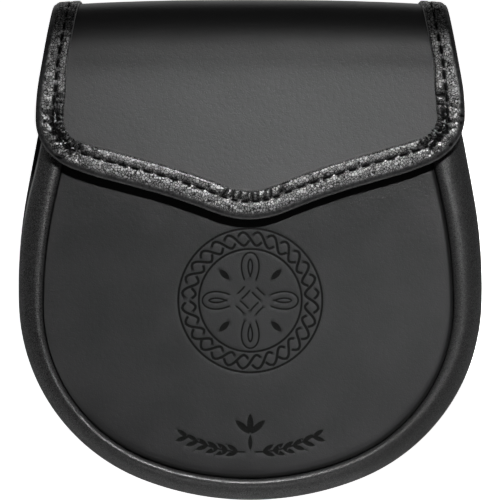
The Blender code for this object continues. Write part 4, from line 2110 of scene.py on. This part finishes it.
@dataclass
class FlapCatch:
    """The hidden press catch: a turned stud between the front and the flap."""

    lean: float = 4.5
    sides: int = 40
    bevel: float = 0.3
    waist: float = 0.5
    waist_top: float = 0.35
    cap_edge: float = 1.2
    cap_top: float = 1.5
    core: float = 0.02
    weld: float = 0.05

    def build(self) -> Object:
        """The catch.

        Returns:
            The piece.
        """
        low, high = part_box("flap_catch")
        middle = (low + high) / 2.0 / MM
        radius = (high.x - low.x) / 2.0 / MM
        lean = radians(self.lean)
        half = ((high.z - low.z) / MM - 2.0 * radius * sin(lean)) / 2.0 / cos(lean)
        profile = (
            (self.core, -half),
            (radius - self.bevel, -half),
            (radius, self.bevel - half),
            (radius, -self.bevel),
            (radius - self.waist, 0.0),
            (radius - self.waist, self.waist_top),
            (radius - self.cap_edge, half - self.bevel),
            (radius - self.cap_top, half),
            (self.core, half),
        )
        up = Vector((0.0, sin(lean), cos(lean)))
        level = Vector((0.0, cos(lean), -sin(lean)))
        rows = []
        for number in range(self.sides + 1):
            angle = tau * number / self.sides
            way = Vector((cos(angle), 0.0, 0.0)) + level * sin(angle)
            rows.append([Spot(*(middle + way * out + up * rise)) for out, rise in profile])
        piece = Surface().add_grid(rows).make("press_catch", Look.METAL, "catch_metal", weld=self.weld)
        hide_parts("flap_catch")
        return piece


# ---- studio


class SoftBox(NamedTuple):
    """An area light: its name, where it stands, what it faces, its width and height, and its watts."""

    name: str
    place: Vector
    aim: Vector
    size: Span
    power: float

    def hang(self) -> Object:
        """Hangs it.

        Returns:
            The light.
        """
        data = bpy.data.lights.new(self.name, "AREA")
        data.shape = "RECTANGLE"
        data.size, data.size_y = self.size
        data.energy = self.power
        placed = bpy.data.objects.new(self.name, data)
        placed.location = self.place
        placed.rotation_euler = (self.aim - self.place).to_track_quat("-Z", "Y").to_euler()
        placed.visible_camera = False
        bpy.context.scene.collection.objects.link(placed)
        return placed


@dataclass
class Beam:
    """A gridded box over the top edge, whose beam stops short of the fold.

    The toe and fade zone are in metres from its upper edge. The other zones are shares of its width, from its
    right end or its middle, or of its length, from its upper edge.
    """

    angle: float = 33.0
    turn: float = 15.0
    distance: float = 0.3
    spread: float = 3.2
    power: float = 0.44
    edge: float = 0.0937
    level: float = 0.028
    width: float = 0.34
    length: float = 0.257
    toe: float = 0.005
    toe_share: float = 0.15
    fade_zone: Span = (0.0091, 0.0197)
    sides: Span = (1.12, 0.66)
    sides_zone: Span = (0.2, 0.8)
    upper: Span = (0.1, 0.45)
    upper_evenness: float = 0.35
    foot_zone: Span = (0.25, 0.5)
    foot: float = 1.16
    off_middle: Span = (0.04, 0.24)
    off_middle_level: float = 0.82

    def hang(self) -> None:
        """Hangs it."""
        angle, turn = radians(self.angle), radians(self.turn)
        way = Vector((sin(angle) * sin(turn), sin(angle) * cos(turn), cos(angle)))
        down = Vector((1.0, 0.0, 0.0)).cross(way).normalized()
        aim = Vector((0.0, self.edge, self.level)) + down * (self.length / 2.0)
        size = (self.width, self.length)
        placed = SoftBox("top_beam", aim + way * self.distance, aim, size, self.power).hang()
        placed.rotation_euler = Matrix((down.cross(way), down, way)).transposed().to_euler()
        placed.data.spread = radians(self.spread)
        placed.data.use_nodes = True
        tree = placed.data.node_tree
        bench = NodeBench(tree)
        bench.feed(tree.nodes["Emission"].inputs["Strength"], self.strength(bench))

    def strength(self, bench: NodeBench) -> NodeSocket:
        """How strong the beam is over its face.

        It fades in from its upper edge, is stronger on the right and at its foot, and is weaker off the
        middle of its upper part.

        Args:
            bench: the light's bench.

        Returns:
            The share of its power.
        """
        face = bench.add("NewGeometry").outputs["Parametric"]
        across, along, _ = bench.add("SeparateXYZ", {"Vector": face}).outputs
        toe = bench.spread(along, 0.0, self.toe / self.length, 0.0, self.toe_share)
        start, end = (reach / self.length for reach in self.fade_zone)
        fade = bench.maths("ADD", toe, bench.spread(along, start, end, 0.0, 1.0 - self.toe_share))
        side = bench.spread(across, *self.sides_zone, *self.sides)
        lower = bench.spread(along, *self.upper, self.upper_evenness, 1.0)
        tilt = bench.maths("MULTIPLY_ADD", bench.maths("SUBTRACT", side, 1.0), lower, 1.0)
        fade = bench.times(fade, bench.spread(along, *self.foot_zone, 1.0, self.foot))
        away = bench.maths("ABSOLUTE", bench.maths("SUBTRACT", across, 0.5))
        dim = bench.spread(away, *self.off_middle, 1.0, self.off_middle_level)
        upper = bench.spread(along, *self.upper, 1.0, 0.0)
        dim = bench.maths("MULTIPLY_ADD", bench.maths("SUBTRACT", dim, 1.0), upper, 1.0)
        return bench.times(bench.times(fade, dim), tilt)


@dataclass
class Studio:
    """Pale floor, soft light and the camera straight above the pouch, in metres."""

    camera_height: float = 8.5
    camera_shift: Span = (-0.0001, 0.0)
    frame_width: float = 0.20467
    subject_level: float = 0.012
    sensor: float = 36.0
    floor_half: float = 30.0
    paper: Span = (0.84, 0.87)
    paper_unseen: float = 0.12
    paper_fibre: float = 900.0
    paper_roughness: float = 0.9
    top_glow_start: Span = (0.095, 0.115)
    top_glow_end: Span = (0.125, 0.2)
    top_glow: float = 0.85
    foot_glow_zone: Span = (-0.14, -0.02)
    foot_glow: Span = (0.25, 0.03)
    horizon_zone: Span = (0.05, 0.5)
    horizon: Span = (0.45, 0.012)
    top_sky_zone: Span = (0.2, 0.9)
    top_sky: float = 0.3
    side_sky_zone: Span = (0.5, 1.0)
    side_sky: float = 0.65
    boxes: tuple[SoftBox, ...] = (
        SoftBox("top_soft", Vector((0.0, 0.9, 0.75)), Vector((0.0, 0.08, 0.02)), (0.8, 0.4), 0.35),
        SoftBox("foot_fill", Vector((0.0, -0.8, 0.45)), Vector((0.0, -0.05, 0.02)), (0.8, 0.5), 1.7),
    )

    def camera(self) -> None:
        """Places a long lens above the front."""
        data = bpy.data.cameras.new("overhead")
        data.sensor_width = self.sensor
        data.lens = self.sensor * (self.camera_height - self.subject_level) / self.frame_width
        data.clip_end = 100.0
        placed = bpy.data.objects.new("overhead", data)
        placed.location = (*self.camera_shift, self.camera_height)
        bpy.context.scene.collection.objects.link(placed)
        bpy.context.scene.camera = placed

    def floor(self) -> None:
        """Lays a pale floor that glows a little beyond the fold and the foot, like paper lit all round."""
        half = self.floor_half
        corners = [(-half, -half, 0.0), (half, -half, 0.0), (half, half, 0.0), (-half, half, 0.0)]
        mesh = bpy.data.meshes.new("floor")
        mesh.from_pydata(corners, [], [(0, 1, 2, 3)])
        material, bench, shader = new_shader("pale_paper")
        place = bench.position()
        fibre = bench.noise(place, self.paper_fibre).outputs[0]
        dark, pale = ((level, level, level) for level in self.paper)
        unseen = (self.paper_unseen, self.paper_unseen, self.paper_unseen)
        seen = bench.add("LightPath").outputs["Is Camera Ray"]
        bench.feed(shader.inputs["Base Color"], bench.blend(seen, unseen, bench.blend(fibre, dark, pale)))
        shader.inputs["Roughness"].default_value = self.paper_roughness
        shader.inputs["Emission Color"].default_value = (1.0, 1.0, 1.0, 1.0)
        along = bench.add("SeparateXYZ", {"Vector": place}).outputs["Y"]
        rising = bench.spread(along, *self.top_glow_start, 0.0, 1.0)
        falling = bench.spread(along, *self.top_glow_end, self.top_glow, 0.0)
        foot = bench.spread(along, *self.foot_glow_zone, *self.foot_glow)
        bounce = bench.maths("ADD", foot, bench.times(rising, falling))
        bench.feed(shader.inputs["Emission Strength"], bench.maths("MAXIMUM", seen, bounce))
        mesh.materials.append(material)
        placed = bpy.data.objects.new("floor", mesh)
        bpy.context.scene.collection.objects.link(placed)

    def world(self) -> None:
        """A pale horizon under a dim ceiling, duller towards the top and the sides."""
        world = bpy.data.worlds.new("studio")
        bpy.context.scene.world = world
        world.use_nodes = True
        bench = NodeBench(world.node_tree)
        background = world.node_tree.nodes["Background"]
        way = bench.add("TexCoord").outputs["Generated"]
        across, along, up = bench.add("SeparateXYZ", {"Vector": way}).outputs
        ring = bench.spread(up, *self.horizon_zone, *self.horizon)
        glow = bench.times(ring, bench.spread(along, *self.top_sky_zone, 1.0, self.top_sky))
        dim = bench.spread(bench.maths("ABSOLUTE", across), *self.side_sky_zone, 1.0, self.side_sky)
        glow = bench.times(glow, dim)
        seen = bench.add("LightPath").outputs["Is Camera Ray"]
        background.inputs["Color"].default_value = (1.0, 1.0, 1.0, 1.0)
        bench.feed(background.inputs["Strength"], bench.maths("MAXIMUM", seen, glow))

    def build(self) -> None:
        """Sets up the whole studio."""
        self.camera()
        self.floor()
        Beam().hang()
        for box in self.boxes:
            box.hang()
        self.world()
        bpy.context.scene.view_settings.view_transform = "Standard"


WALL_SIZES = {"scale": 2000.0, "relief": 0.000024, "roughness": 0.44, "ior": 1.35}
WALL_GLOSS = {"gloss": (0.5, 1.0), "gloss_roughness": 0.44, "gloss_ior": 1.85}
BINDING_SIZES = {"scale": 900.0, "relief": 0.0001, "ior": 1.18}
BINDING_GLOSS = {"gloss": (0.4, 1.0), "gloss_roughness": 0.46, "gloss_ior": 2.38}


def main() -> None:
    """Builds the studio and every piece of the pouch, and reports each piece."""
    logging.basicConfig(level=logging.INFO, format="%(name)s: %(message)s")
    Studio().build()
    effects = Effects()
    finishes = (
        SmoothLeather(Look.FRONT, roughness=0.41, ior=1.32, coated=True),
        SmoothLeather(Look.FLAP, roughness=0.45),
        GrainedLeather(Look.WALL, **WALL_SIZES, **WALL_GLOSS),
        GrainedLeather(Look.BINDING, **BINDING_SIZES, **BINDING_GLOSS),
        GrainedLeather(Look.BACKING, scale=2600.0, relief=0.00003, roughness=0.55),
        SewingThread(Look.THREAD),
        BrushedMetal(Look.METAL),
    )
    for finish in finishes:
        finish.make(effects)
    pouch, flap = PouchForm(), FlapForm()
    pieces = [FrontLeather(pouch, Ornament()).build(), GussetWall(pouch).build(), *BackLeather(pouch).build()]
    pieces += FlapLeather(flap).build() + EdgeBinding(flap).build()
    for side in LoopSide:
        pieces += StrapLoop(side).build()
    pieces.append(FlapCatch().build())
    for piece in pieces:
        LOG.info("%s: %d faces", piece.name, len(piece.data.polygons))


if __name__ == "__main__":
    main()
